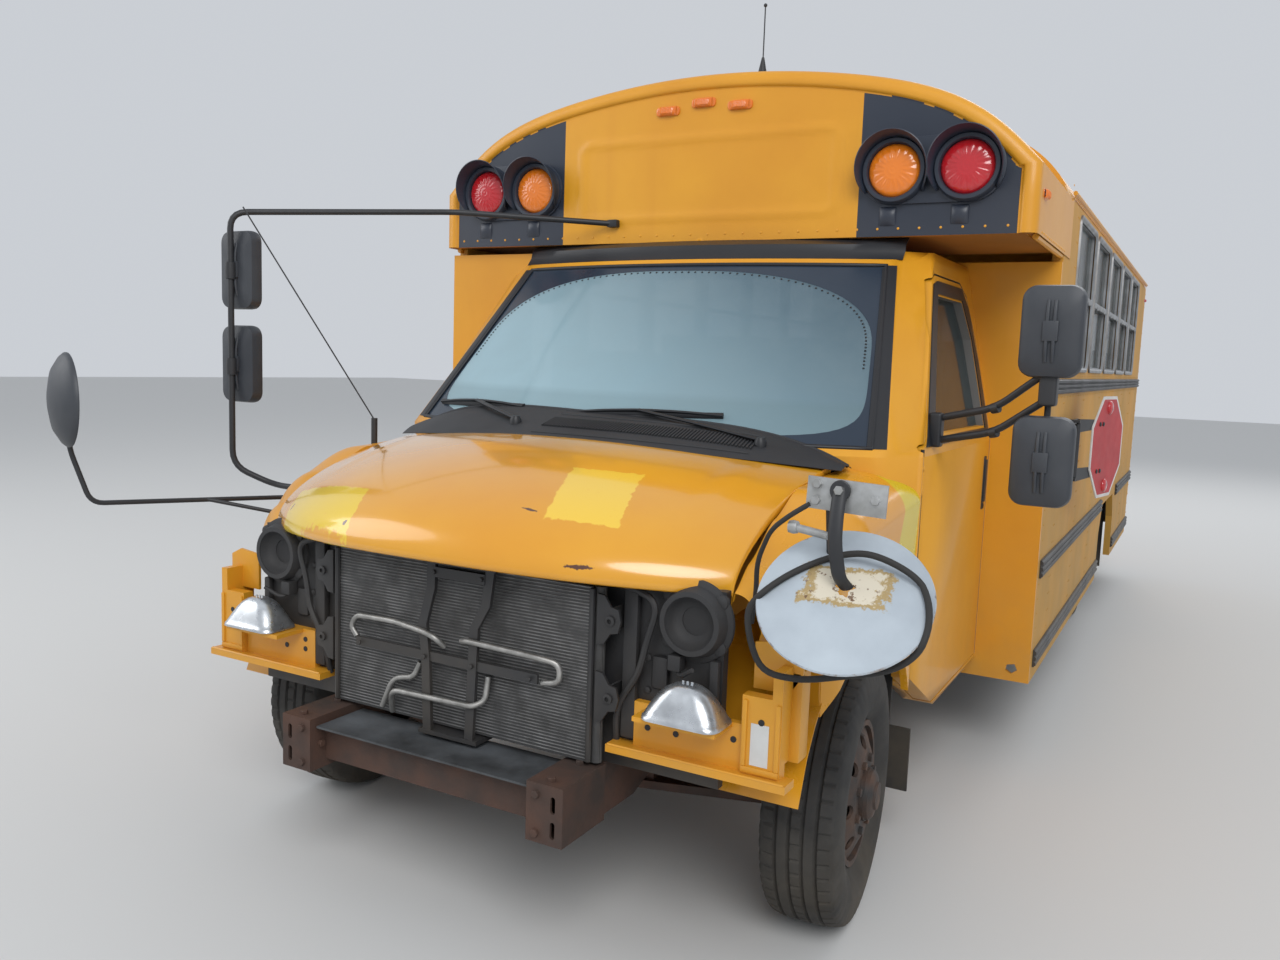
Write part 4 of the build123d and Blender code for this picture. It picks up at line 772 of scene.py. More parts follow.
def makeCap():
    p = capPlan
    front = aft(p["front"])
    bm = bmesh.new()
    rimSteps = [(0.064, p["recess"]), (0.059, p["recess"] - 0.001), (0.054, 0.003), (0.046, 0.0), (0.034, 0.0005),
        (0.022, 0.0035), (0.011, 0.01), (0.004, 0.02), (0.001, 0.032), (0.0, 0.045)]
    rows = [[(x, front + back, z) for x, z in capSection(inset, p["low"])] for inset, back in rimSteps]
    for back in (0.2, 0.45, 0.8, p["rear"] - p["front"]):
        rows.append([(x, front + back, z) for x, z in capSection(0, p["low"])])
    inner = [[(x, front + back, z) for x, z in capSection(0.04, p["low"])]
        for back in (p["rear"] - p["front"], 0.45, 0.06)]
    grid(bm, rows + inner)
    # Face panel in columns, embossed round the sign's place
    reach = p["half"] - 0.0645
    xs = sorted({round(reach, 5), -round(reach, 5)} | {round(-1.14 + 0.019 * k, 4)
        for k in range(121)} | {-p["quarterAt"], p["quarterAt"]})
    columns = []
    for x in xs:
        top = sectionTop(x, 0.0625)
        line = []
        for k in range(37):
            z = p["low"] + (top - p["low"]) * k / 36
            edge = min(p["panelHalf"] - abs(x), z - p["panelLow"], p["panelHigh"] - z)
            corner = hypot(max(0, abs(x) - p["panelHalf"] + 0.04), max(0, abs(z - 2.2735) - 0.1115))
            edge = min(edge, 0.04 - corner)
            raised = exp(-((edge - 0.006) / 0.011) ** 2)
            line.append((x, front + p["recess"] - p["emboss"] * raised, z))
        columns.append(line)
    grid(bm, columns)
    # Flange under the face and the ceiling behind it
    under = [[(x, front + back, p["low"] + up) for x in (-1.21, -0.9, -0.45, 0, 0.45, 0.9, 1.21)]
        for back, up in ((p["recess"], 0.0), (0.03, -0.002), (0.06, 0.006), (0.698, 0.006))]
    grid(bm, under)
    bmesh.ops.remove_doubles(bm, verts=bm.verts, dist=0.0005)
    bmesh.ops.recalc_face_normals(bm, faces=bm.faces)
    # Black quarters on the recessed face; the faces under the cap take the darker, duller orange, painted shade
    # under the overhang
    for face in bm.faces:
        mid = face.calc_center_median()
        onFace = abs(mid.y - front - p["recess"]) < 0.007 and abs(mid.x) < reach and abs(face.normal.y) > 0.9
        if onFace and abs(mid.x) > p["quarterAt"] and mid.z < sectionTop(mid.x, 0.0615):
            face.material_index = 1
        elif abs(mid.z - p["low"] - 0.003) < 0.007 and abs(face.normal.z) > 0.7:
            face.material_index = 2
    settle("capSkin", bm, ["busYellow", "quarterBlack", "capUnder"], replaces=["front_cap"], angle=42,
        keepFaces=True)


makeCap()
capFront = aft(capPlan["front"]) + capPlan["recess"]

# Rivets along the foot of the face, the side flanges and the joint with the body
rivetPlaces = rowOf((-1.13, capFront, 2.06), (1.13, capFront, 2.06), 0.074, (0, -1, 0))
for side in (-1, 1):
    for start, stop, low, high, pitch in ((0.93, 1.5, 2.046, 2.046, 0.045), (1.625, 1.625, 2.31, 2.255, 0.03)):
        x = side * capPlan["half"]
        rivetPlaces += rowOf(at(x, start, low), at(x, stop, high), pitch, (side, 0, 0))
for x, z in capSection(0, 2.3)[2:-2]:
    rivetPlaces.append((at(x, 1.62, z), (x * 0.5, 0, z - 1.9), (0, 1, 0)))
repeat("capRivets", rivetShape, rivetPlaces, "busYellow", size=0.95)

# Side flange mouldings under the cap
bm = bmesh.new()
for side in (-1, 1):
    pipe(bm, [at(side * 1.209, 0.9, 2.03), at(side * 1.209, 1.51, 2.03)], 0.011, 0, 8)
settle("capFlange", bm, "busYellow")

# Warning lamps: capsule plate for each pair, black ring and visor, fluted domed lens
lampPlan = dict(high=2.253, lens=0.089, capsule=0.122, amber=0.746, red=0.992)


def fluted(bm, place, radius, sides=72):
    # Lens with a plain rim, a ring of flutes and a bullseye
    rows = []
    for angle in around(sides):
        line = []
        for j in range(17):
            r = radius * (1 - j / 16)
            flute = 0.0012 * cos(angle * 18) if 0.42 < r / radius < 0.88 else 0.0
            rings = 0.001 * cos(r * 420) if r / radius < 0.42 else 0.0
            h = 0.018 + 0.023 * sqrt(max(0, 1 - (r / radius) ** 2.2)) + flute + rings
            line.append(place @ Vector((r * cos(angle), r * sin(angle), h)))
        rows.append(line)
    made = grid(bm, rows, closeRows=True)
    bm.faces.new([row[0] for row in made])
    bmesh.ops.remove_doubles(bm, verts=[row[-1] for row in made], dist=1e-5)


def makeLamps(name, ahead, faceY):
    for colour, key in (("amberLens", "amber"), ("redLens", "red")):
        bm = bmesh.new()
        for side in (-1, 1):
            fluted(bm, frameOn((side * lampPlan[key], faceY, lampPlan["high"]), (0, ahead, 0)), lampPlan["lens"])
        settle(name + key.capitalize(), bm, colour, replaces=["warning_lamps"] if key == "amber" else (), angle=60)
    bm = bmesh.new()
    for side in (-1, 1):
        middle = side * (lampPlan["amber"] + lampPlan["red"]) / 2
        capsule = lampPlan["capsule"]
        reach = lampPlan["red"] - lampPlan["amber"] + 2 * capsule
        spot = frameOn((middle, faceY, lampPlan["high"]), (0, ahead, 0))
        plate(bm, roundCorners(reach, 2 * capsule - 0.02, capsule - 0.012, 10), spot, 0.01, 0.004)
        for key in ("amber", "red"):
            spot = frameOn((side * lampPlan[key], faceY, lampPlan["high"]), (0, ahead, 0))
            turned(bm, [(0.09, 0.006), (0.09, 0.03), (0.094, 0.036), (0.106, 0.036), (0.112, 0.028),
                (0.114, 0.006)], spot, 48)
            rows = []
            for k in range(37):
                angle = radians(-36 + 252 * k / 36)
                reachOut = 0.018 + (0.082 if ahead < 0 else 0.068) * max(0.0, sin(pi * k / 36)) ** 0.45
                rows.append([spot @ Vector((r * cos(angle), r * sin(angle), h))
                    for r, h in ((0.11, 0.008), (0.114, reachOut * 0.4), (0.119, reachOut * 0.75),
                    (0.126, reachOut))])
            shell(bm, rows, 0.0035)
        # Pressed half tubes that stiffen the panel under the lamps
        for key in ("amber", "red") if ahead < 0 else ():
            x = side * lampPlan[key] - 0.02
            foot = []
            for k in range(13):
                a = pi * k / 12
                foot.append([(x + 0.03 * cos(a), faceY - 0.014 * sin(a) * f, z)
                    for z, f in ((2.07, 0.15), (2.084, 0.8), (2.105, 1.0), (2.126, 0.75), (2.134, 0.1))])
            grid(bm, foot)
    settle(name + "Visors", bm, "quarterBlack", angle=40)


rearY = aft(bodyPlan["rear"])
makeLamps("frontLamps", -1, capFront)
makeLamps("rearLamps", 1, rearY)

# Marker lamps: ribbed lens on a base with screw ears
def markerShape(bm):
    plate(bm, roundCorners(0.098, 0.034, 0.012), Matrix(), 0.006, 0.002)
    rows = []
    for k in range(25):
        x = -0.036 + 0.072 * k / 24
        rib = 0.0008 * cos(k * pi)
        lift = 0.021 * (1 - (abs(x) / 0.04) ** 6)
        rows.append([(x, -0.016, 0.005), (x, -0.015, lift * 0.75 + rib), (x, -0.009, lift + rib),
            (x, 0.009, lift + rib), (x, 0.015, lift * 0.75 + rib), (x, 0.016, 0.005)])
    grid(bm, rows)


markerUnit = unit("markerUnit", markerShape)
for name, y, facing, lens, replaces in (("front", capFront, -1, "amberLens", ["marker_lamps"]),
        ("rear", rearY, 1, "redLens", ())):
    places = [((x, y, 2.545 - 0.02 * (x != 0)), (0, facing, 0), (1, 0, 0)) for x in (-0.15, 0, 0.15)]
    repeat(name + "Markers", markerUnit, places, lens, replaces=replaces)
for name, station, lens, size in (("Front", 0.94, "amberLens", 0.9), ("Rear", 6.27, "redLens", 0.62)):
    places = [(at(side * bodyPlan["half"], station, 2.17), (side, 0, 0), (0, 1, 0)) for side in (-1, 1)]
    repeat("sideMarkers" + name, markerUnit, places, lens, size=size)
bm = bmesh.new()
for side in (-1, 1):
    for z, r in ((1.32, 0.089), (1.08, 0.051)):
        fluted(bm, frameOn((side * 1.01, rearY, z), (0, 1, 0)), r, 60)
settle("stopLamps", bm, "redLens", angle=60)
print("cap and lamps made")

# Windscreen: curved pane with a black printed border that arches at the top
screenPlan = dict(low=1.334, high=1.931, halfLow=0.878, halfHigh=0.744, pane=0.011, fritOut=0.0015)


def screenPoint(x, z, out=0.0):
    # The cab's front surface at a width and height, moved outwards
    f = (z - 1.31) / 0.675
    mid, cornerX, cornerY = 0.06 + f * 0.67, 0.93 - f * 0.17, 0.3 + f * 0.55
    rise = cornerY - mid
    radius = (cornerX ** 2 + rise ** 2) / (2 * rise)
    y = mid + radius - sqrt(radius ** 2 - x * x)
    lean = hypot(0.67, 0.675)
    return (x, aft(y) + (screenPlan["pane"] - out) * 0.675 / lean, z)


def screenAt(u, v, out=0.0):
    # u runs from -1 at the right to 1 at the left, v from -1 at the foot to 1 at the top
    f = (v + 1) / 2
    z = screenPlan["low"] + (screenPlan["high"] - screenPlan["low"]) * f
    half = screenPlan["halfLow"] + (screenPlan["halfHigh"] - screenPlan["halfLow"]) * f
    return screenPoint(u * half, z, out)


def makeScreen():
    bm = bmesh.new()
    rows = [[screenAt(-1 + k / 20, -1 + j / 12) for j in range(25)] for k in range(41)]
    shell(bm, rows, 0.005)
    settle("screenPane", bm, "screenGlass", replaces=["windshield"], angle=60)
    # Border: from the edge in to a rounded line, lower corners tight and the top one long arch
    bm = bmesh.new()
    rows, rim = [], []
    for k in range(161):
        angle = tau * k / 160
        c, s = cos(angle), sin(angle)
        outer = 0.999 / max(abs(c), abs(s))
        power = 7 if s < 0 else 2.6
        inner = (abs(c / 0.968) ** power + abs(s / (0.92 if s < 0 else 0.925)) ** power) ** (-1 / power)
        rows.append([screenAt(c * r, s * r, screenPlan["fritOut"])
            for r in (outer, outer * 0.66 + inner * 0.34, outer * 0.33 + inner * 0.67, inner)])
        dot = inner - 0.022
        if s > -0.2:
            rim.append((screenAt(c * dot, s * dot, screenPlan["fritOut"]), (0, -0.7, 0.7), (1, 0, 0)))
    grid(bm, rows)
    settle("screenBorder", bm, "borderBlack", angle=60)
    repeat("screenDots", rivetShape, rim, "seamBlack", size=0.8)
    # Rubber round the opening
    bm = bmesh.new()
    edge = [screenAt(u, -1, 0.004) for u in (-1 + k / 20 for k in range(41))]
    edge += [screenAt(1, v, 0.004) for v in (-1 + k / 10 for k in range(1, 21))]
    edge += [screenAt(-u, 1, 0.004) for u in (-1 + k / 20 for k in range(1, 41))]
    edge += [screenAt(-1, -v, 0.004) for v in (-1 + k / 10 for k in range(1, 20))]
    edge.append(edge[0])
    pipe(bm, edge, 0.0075, 0, 8, caps=False)
    for side in (-1, 1):
        shell(bm, [[screenAt(side * (0.985 + 0.045 * k / 3), -0.98 + 1.96 * j / 12, 0.0128) for j in range(13)]
            for k in range(4)], side * 0.003)
    settle("screenRubber", bm, "seamBlack", angle=60)


def screenGlass():
    # Tinted glass with a dusty film that is thicker low down, and a painted sky reflection
    w = Wiring("screenGlass")
    film = w.ramp(w.noise(3.0, 6, 0.6), 0.3, 0.75)
    low = w.ramp(w.axis("Z"), 1.95, 1.35)
    # Painted sky reflection in the film: pale at the right foot, deep at the left top, and a painted darker band
    # over the dashboard
    sky = w.ramp(w.plus(w.axis("X"), w.times(w.axis("Z"), 1.6)), 1.65, 4.0, True)
    colour = w.mix(sky, (0.42, 0.62, 0.7), (0.015, 0.055, 0.095))
    colour = w.mix(w.times(film, 0.25), colour, (0.3, 0.38, 0.4))
    # painted darker band where the dashboard sits behind the glass
    colour = w.mix(w.times(w.ramp(w.axis("Z"), 1.475, 1.45), 0.25), colour, (0.13, 0.21, 0.22))
    colour = w.mix(w.times(low, 0.1), colour, (0.36, 0.46, 0.47))
    return w.done(colour, film, (0.05, 0.18), {"Alpha": 0.74, "IOR": 1.6})


addFinish("screenGlass", "dark_glass", screenGlass())
makeScreen()

# Cowl: moulded panel rising from the hood's rear edge on to the glass, with a slotted grille between the wipers
cowlPlan = dict(half=0.8, bow=0.236, front=1.322, foot=1.398, drop=0.115, grille=(-0.1, 0.6), pitch=0.0105)


def cowlFrontAt(x):
    half, bow = cowlPlan["half"], cowlPlan["bow"]
    radius = (half ** 2 + bow ** 2) / (2 * bow)
    return hoodPlan["rearMiddle"] + radius - sqrt(radius ** 2 - x * x)


def cowlPoint(x, f, lift=0.0):
    # f runs from the hood's edge to the glass
    low = (aft(cowlFrontAt(x) - 0.02), cowlPlan["front"] - 0.043 * (x / 0.81) ** 2)
    high = screenPoint(x, cowlPlan["foot"] - cowlPlan["drop"] * (x / 0.86) ** 4 - 0.02 * x, 0.003)[1:]
    bulge = 0.012 * sin(pi * f)
    return Vector((x, low[0] + (high[0] - low[0]) * f - (bulge + lift) * 0.4,
        low[1] + (high[1] - low[1]) * f + (bulge + lift) * 0.9))


bm = bmesh.new()
shell(bm, [[cowlPoint(-0.84 + 0.042 * k, j / 8) for j in range(9)] for k in range(41)], -0.002)
settle("cowlPanel", bm, "mouldedBlack", angle=50)
slotUnit = unit("slotUnit", lambda bm: block(bm, (-0.0027, -0.041, 0.0), (0.0027, 0.041, 0.0065), 0.001, steps=1))
first, last = cowlPlan["grille"]
places = []
for k in range(int((last - first) / cowlPlan["pitch"])):
    x = first + cowlPlan["pitch"] * k
    normal = (cowlPoint(x + 0.01, 0.5) - cowlPoint(x - 0.01, 0.5)).cross(cowlPoint(x, 0.6) - cowlPoint(x, 0.4))
    places.append((cowlPoint(x, 0.46), normal.normalized(), (1, 0.15 * x, 0)))
repeat("cowlGrille", slotUnit, places, "mouldedBlack")
bm = bmesh.new()
for f in (0.16, 0.76):
    pipe(bm, [cowlPoint(first - 0.01 + (last - first) * k / 20, f, 0.002) for k in range(21)], 0.0045, 0, 8)
pipe(bm, [cowlPoint(-0.83 + 0.0415 * k, 1.0, 0.001) for k in range(41)], 0.006, 0, 8)
settle("cowlEdges", bm, "mouldedBlack", angle=60)

# Black filler strip from the windscreen's head up to the cap: partly the black seal, partly a dark sheet as painted
# shade under the cap's overhang
bm = bmesh.new()
rows = []
for k in range(37):
    x = -0.79 + 1.58 * k / 36
    low, high = screenPoint(x, 1.954, 0.0125), screenPoint(x, 1.984, 0.0135)
    bow = 0.07 * (x / 0.87) ** 2
    rows.append([low, high, (x, high[1] + 0.006, 2.008), (x, aft(0.846) + bow, 2.04)])
shell(bm, rows, 0.002)
settle("capFiller", bm, "seamBlack", angle=50)
# Wipers: pressed arm from its cap to a bridged blade with a rubber edge
wiperPlan = [  # pivot as (x, share of the cowl), blade ends as (u, v) on the screen
    ((0.6, 0.45), (-0.15, -0.8), (0.49, -0.74)),
    ((-0.22, 0.35), (-0.93, -0.8), (-0.38, -0.77))]
bm = bmesh.new()
for pivot, tipA, tipB in wiperPlan:
    foot = cowlPoint(*pivot)
    turned(bm, [(0.019, -0.006), (0.019, 0.012), (0.013, 0.024), (0, 0.026)], Matrix.Translation(foot), 16)
    a, b = Vector(screenAt(*tipA, 0.02)), Vector(screenAt(*tipB, 0.02))
    middle = (a + b) / 2 + Vector((0, -0.02, 0.014))
    pipe(bm, [foot + Vector((0, 0, 0.016)), foot * 0.45 + middle * 0.55 + Vector((0, -0.016, 0.012)), middle],
        0.011, 0.04, 8, flat=0.5)
    bridge = Vector((0, -0.012, 0.01))
    pipe(bm, [a, a.lerp(b, 0.25) + bridge, middle, a.lerp(b, 0.75) + bridge, b], 0.0075, 0.05, 8, flat=0.7)
    spine = [Vector(screenAt(tipA[0] + (tipB[0] - tipA[0]) * k / 16, tipA[1] + (tipB[1] - tipA[1]) * k / 16, 0.012))
        for k in range(17)]
    pipe(bm, spine, 0.0065, 0, 6, flat=1.7)
settle("wiperSet", bm, "seamBlack", replaces=["wipers"], angle=45)
print("screen, cowl and wipers made")

# Condenser: flat tubes across a dirty finned core, end tanks with lobed brackets, bent metal pipes
def finCore():
    w = Wiring("finCore")
    fins = w.add("ShaderNodeTexWave", {"Vector": w.stretched((1, 1, 0.001)), "Scale": 150, "Distortion": 0.4},
        wave_type="BANDS", bands_direction="X").outputs["Fac"]
    dirt = w.ramp(w.noise(7, 6, 0.7), 0.35, 0.7)
    colour = w.mix(fins, (0.03, 0.03, 0.032), (0.15, 0.15, 0.15))
    colour = w.mix(w.times(dirt, 0.6), colour, (0.055, 0.052, 0.047))
    return w.done(colour, dirt, (0.45, 0.85), {"Metallic": 0.5}, (fins, 0.5))


addFinish("finCore", "cooler_aluminium", finCore(), "condenser")
upright = Matrix.Rotation(radians(90), 4, "X")
coolerPlan = dict(face=-0.6005, tubes=52, foot=0.556, pitch=0.0088, pipe=0.0082)
tubeUnit = unit("tubeUnit", lambda bm: block(bm, (-0.432, -0.0012, -0.0016), (0.432, 0.0022, 0.0016), 0.0008,
    steps=1))
places = [(at(0.015, coolerPlan["face"], coolerPlan["foot"] + coolerPlan["pitch"] * k), (0, 0, 1), (1, 0, 0))
    for k in range(coolerPlan["tubes"])]
repeat("condenserTubes", tubeUnit, places, "tubeAlloy")
bm = bmesh.new()
pipeRuns = [
    [(-0.327, -0.622, 0.759), (-0.352, -0.622, 0.785), (-0.33, -0.622, 0.82), (-0.19, -0.622, 0.824),
     (-0.06, -0.645, 0.819), (-0.02, -0.645, 0.808), (-0.008, -0.62, 0.78)],
    [(0.053, -0.622, 0.806), (0.09, -0.645, 0.817), (0.3, -0.645, 0.812), (0.37, -0.622, 0.798),
     (0.372, -0.622, 0.748), (0.317, -0.62, 0.738)],
    [(-0.236, -0.615, 0.566), (-0.196, -0.615, 0.657), (-0.115, -0.62, 0.674), (-0.099, -0.612, 0.718)],
    [(-0.195, -0.618, 0.56), (-0.178, -0.645, 0.634), (0.11, -0.645, 0.64), (0.135, -0.622, 0.655),
     (0.137, -0.612, 0.72)]]
for run in pipeRuns:
    pipe(bm, [at(*spot) for spot in run], coolerPlan["pipe"], 0.035, 12)
settle("condenserPipes", bm, "pipeAlloy", angle=60)
bm = bmesh.new()
for x, side in ((-0.434, -1), (0.464, 1)):
    for k in range(2):
        z = 0.7 + 0.2 * k
        lobe = [(0, -0.065), (0.022, -0.062), (0.04, -0.035), (0.062, -0.03), (0.07, 0.0), (0.062, 0.03),
            (0.04, 0.035), (0.022, 0.062), (0, 0.065)]
        spot = Matrix.Translation(at(x + side * 0.004, -0.6, z + 0.03)) @ upright
        outline = [(side * a, b) for a, b in lobe]
        plate(bm, outline if side > 0 else outline[::-1], spot, 0.008, 0.002)
        turned(bm, [(0.013, 0), (0.013, 0.006), (0.006, 0.008), (0.006, 0.002), (0, 0.002)],
            frameOn(at(x + side * 0.045, -0.608, z + 0.03), (0, -1, 0)), 20)
    pipe(bm, [at(x - side * 0.012, -0.604, 0.552), at(x - side * 0.012, -0.604, 1.004)], 0.008, 0, 8)
settle("condenserBrackets", bm, "satinBlack")

# Lamp buckets on the black panel, with pressed ribs and bolts
bucketPlan = dict(face=-0.5405, x=0.712, z=0.948, ears=(0.098, 0.08))
bm = bmesh.new()
face = aft(bucketPlan["face"])
for side in (-1, 1):
    x, z, (wide, high) = side * bucketPlan["x"], bucketPlan["z"], bucketPlan["ears"]
    spot = frameOn((x, face, z), (0, -1, 0))
    for a in around(4, 0.5):
        ear = frameOn((x + wide * cos(a), face, z + high * sin(a)), (0, -1, 0))
        turned(bm, [(0.02, 0), (0.018, 0.012), (0.009, 0.016), (0, 0.016)], ear, 14)
    turned(bm, [(0.105, 0.0), (0.103, 0.006), (0.09, 0.01), (0.083, 0.034), (0.08, 0.041), (0.067, 0.041),
        (0.06, 0.02), (0.048, 0.006), (0.036, 0.003), (0.034, -0.01)], spot, 48)
    for x0, x1, deep, z0, z1, bevel in ((0.52, 0.56, 0.022, 0.62, 1.01, 0.006),
            (0.6, 0.645, 0.014, 0.76, 0.845, 0.01), (0.62, 0.79, 0.01, 0.6, 0.635, 0.004),
            (0.762, 0.785, 0.018, 0.66, 0.86, 0.005)):
        block(bm, (side * x0, face - deep, z0), (side * x1, face, z1), bevel)
    for k in range(4):
        z = 0.665 + 0.085 * k
        turned(bm, [(0.009, 0), (0.009, 0.005), (0.004, 0.007), (0, 0.007)],
            frameOn((side * 0.585, face, z), (0, -1, 0)), 10)
block(bm, (-0.5, face - 0.026, 1.008), (0.5, face + 0.004, 1.03), 0.006)
# Harness clipped along the panel
for side in (-1, 1):
    pipe(bm, [(side * 0.505, face - 0.01, 0.6), (side * 0.51, face - 0.03, 0.7), (side * 0.575, face - 0.03, 0.8),
             (side * 0.59, face - 0.026, 0.88), (side * 0.625, face - 0.03, 0.99),
        (side * 0.52, face - 0.026, 1.018)], 0.009, 0.06, 8)
    pipe(bm, [(side * 0.67, face - 0.006, 0.83), (side * 0.69, face - 0.034, 0.81), at(side * 0.735, -0.6, 0.842)],
        0.006, 0.03, 8)
    block(bm, (side * 0.655, face - 0.036, 0.822), (side * 0.69, face - 0.002, 0.862), 0.004)
settle("lampBuckets", bm, "mouldedBlack", angle=40)


# Sealed beam units face down on their shelf: a silvered back over a rim
reflectorPlan = dict(x=0.735, station=-0.62, foot=0.7225)


def makeReflectors():
    bm = bmesh.new()
    for side in (-1, 1):
        cx, cy, z0 = side * reflectorPlan["x"], aft(reflectorPlan["station"]), reflectorPlan["foot"]
        rows = []
        for wide, long, up in ((0.186, 0.112, 0.0), (0.205, 0.13, 0.002), (0.205, 0.13, 0.01),
                (0.199, 0.124, 0.013), (0.19, 0.116, 0.024), (0.172, 0.103, 0.042), (0.146, 0.088, 0.06),
                (0.112, 0.072, 0.076), (0.076, 0.054, 0.087), (0.044, 0.036, 0.092)):
            share = 0.25 + 0.2 * min(1, up / 0.05)
            rows.append([(cx + x, cy + y, z0 + up) for x,
                y in roundCorners(wide, long, min(wide, long) * share, 6)])
        grid(bm, rows, closeColumns=True, ends=True)
        for dx in (-0.012, 0.0, 0.012):
            block(bm, (cx + dx - 0.003, cy - 0.0008, z0 + 0.09), (cx + dx + 0.003, cy + 0.0008, z0 + 0.098), 0.0004)
    settle("reflectorShells", bm, "brightShell", replaces=["headlamps"], angle=50)


makeReflectors()

# Yellow sheet brackets: folded flanges with holes, and a plain label
bm = bmesh.new()
for side in (-1, 1):
    pipe(bm, [at(side * 0.505, -0.597, 0.608), at(side * 0.98, -0.597, 0.608)], 0.004, 0, 6)
    for x0, x1, z0, z1 in ((0.862, 0.958, 0.612, 0.628), (0.862, 0.874, 0.628, 0.79), (0.946, 0.958, 0.628, 0.79)):
        block(bm, at(side * x0, -0.581, z0), at(side * x1, -0.574, z1), 0.003)
    flange = [(0.86, 0.8), (0.955, 0.8), (0.985, 0.845), (0.985, 0.905), (0.945, 0.925), (0.86, 0.915)]
    spot = Matrix.Translation(at(0, -0.505, 0)) @ upright
    outline = [(side * a, b) for a, b in flange]
    plate(bm, outline if side > 0 else outline[::-1], spot, 0.01, 0.003)
    block(bm, at(side * 0.955, -0.515, 0.635), at(side * 0.985, -0.455, 0.86), 0.006)
settle("bracketFlanges", bm, "busYellow", angle=40)
bm = bmesh.new()
for side in (-1, 1):
    for x, z in ((0.6, 0.66), (0.68, 0.66), (0.835, 0.68), (0.6, 0.69), (0.91, 0.74)):
        turned(bm, [(0.008, 0.0), (0.008, 0.0015), (0, 0.0015)],
            frameOn(at(side * x, -0.562 if x < 0.86 else -0.575, z), (0, -1, 0)), 14)
settle("bracketHoles", bm, "seamBlack")
bm = bmesh.new()
block(bm, at(0.884, -0.5765, 0.632), at(0.93, -0.5748, 0.735), 0.0005)
settle("plainLabel", bm, "blankLabel")

# Bolts on the horns and on the braces of the cooler
places = []
for side in (-1, 1):
    places += [(at(side * 0.402, -0.7605, z), (0, -1, 0), (1, 0, 0)) for z in (0.41, 0.51)]
    places += [((side * (0.47 if side > 0 else 0.372), aft(y), 0.46), (1, 0, 0), (0, 1, 0)) for y in (-0.72, -0.62)]
    places += [(at(side * 0.426, y, 0.5385), (0, 0, 1), (1, 0, 0)) for y in (-0.73, -0.6)]
repeat("hornBolts", hexShape, places, "rustySteel")
places = [(at(x, -0.6405, z), (0, -1, 0), (1, 0, 0)) for x, z in
    ((-0.03, 0.989), (0.13, 0.989), (-0.062, 0.748), (0.1, 0.748), (-0.3, 0.749), (0.29, 0.749))]
repeat("braceBolts", hexShape, places, "satinBlack", size=0.6)
print("front end made")

# Tyres: one pitch of the tread and side wall, repeated round the axle and closed into a ring
tyrePlan = dict(pitches=54, groove=0.009, grooves=(-0.054, -0.018, 0.018, 0.054), twins=(0.727, 0.981))
wheelPlan = dict(nuts=8, circle=0.102, parked=5, front=0.1, rear=-0.117)  # nuts, and the front wheels' angle


def tyrePitch(bm):
    # Local x along the axle, z outwards, y along the tread
    outline = [(-0.08, 0.2065), (-0.088, 0.222), (-0.104, 0.25), (-0.1105, 0.285), (-0.1095, 0.31), (-0.105, 0.335),
        (-0.101, 0.352), (-0.0965, 0.359), (-0.09, 0.3625)]
    for k in range(29):
        x = -0.084 + 0.006 * k
        outline.append((x, 0.3715 - 0.0085 * (x / 0.09) ** 4))
    outline += [(-x, z) for x, z in reversed(outline[:9])]
    step = tau / tyrePlan["pitches"]
    rows = []
    for k in range(7):
        angle = step * (k / 6 - 0.5)
        line = []
        for x, z in outline:
            drop = 0.0
            if z > 0.35 and abs(x) < 0.086:
                zig = 0.0022 * sin(k / 6 * tau)
                if min(abs(x - g - zig) for g in tyrePlan["grooves"]) < 0.0032:
                    drop = tyrePlan["groove"]
                elif k == 3 and (abs(x) > 0.06 or abs(x) < 0.012):
                    drop = tyrePlan["groove"] * 0.55
            elif 0.33 < z < 0.361 and k in (2, 3):
                drop = 0.0035
            r = z - drop
            line.append((x, r * sin(angle), r * cos(angle)))
        rows.append(line)
    grid(bm, rows)


def makeTyres(name, centres, axle, nodeName, body):
    shape = unit(name + "Pitch", tyrePitch)
    axle = Vector(axle).normalized()
    side = axle.cross(upward).normalized()
    places = [(centre, upward * cos(a) + side * sin(a), axle) for centre in centres
        for a in around(tyrePlan["pitches"])]
    return repeat(name, shape, places, "tyreBlack", body, merge=0.0004, angle=28, replaces=[nodeName])


def middle(name):
    low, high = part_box(name)
    return (low + high) / 2


def makeNuts(name, hub, out, off, body):
    along = upward.cross(out)
    nuts = [(hub + out * off + (upward * cos(a) + along * sin(a)) * wheelPlan["circle"], out, upward)
        for a in around(wheelPlan["nuts"], 0.5)]
    repeat(name, hexShape, nuts, "wheelSteel", body, size=1.15)


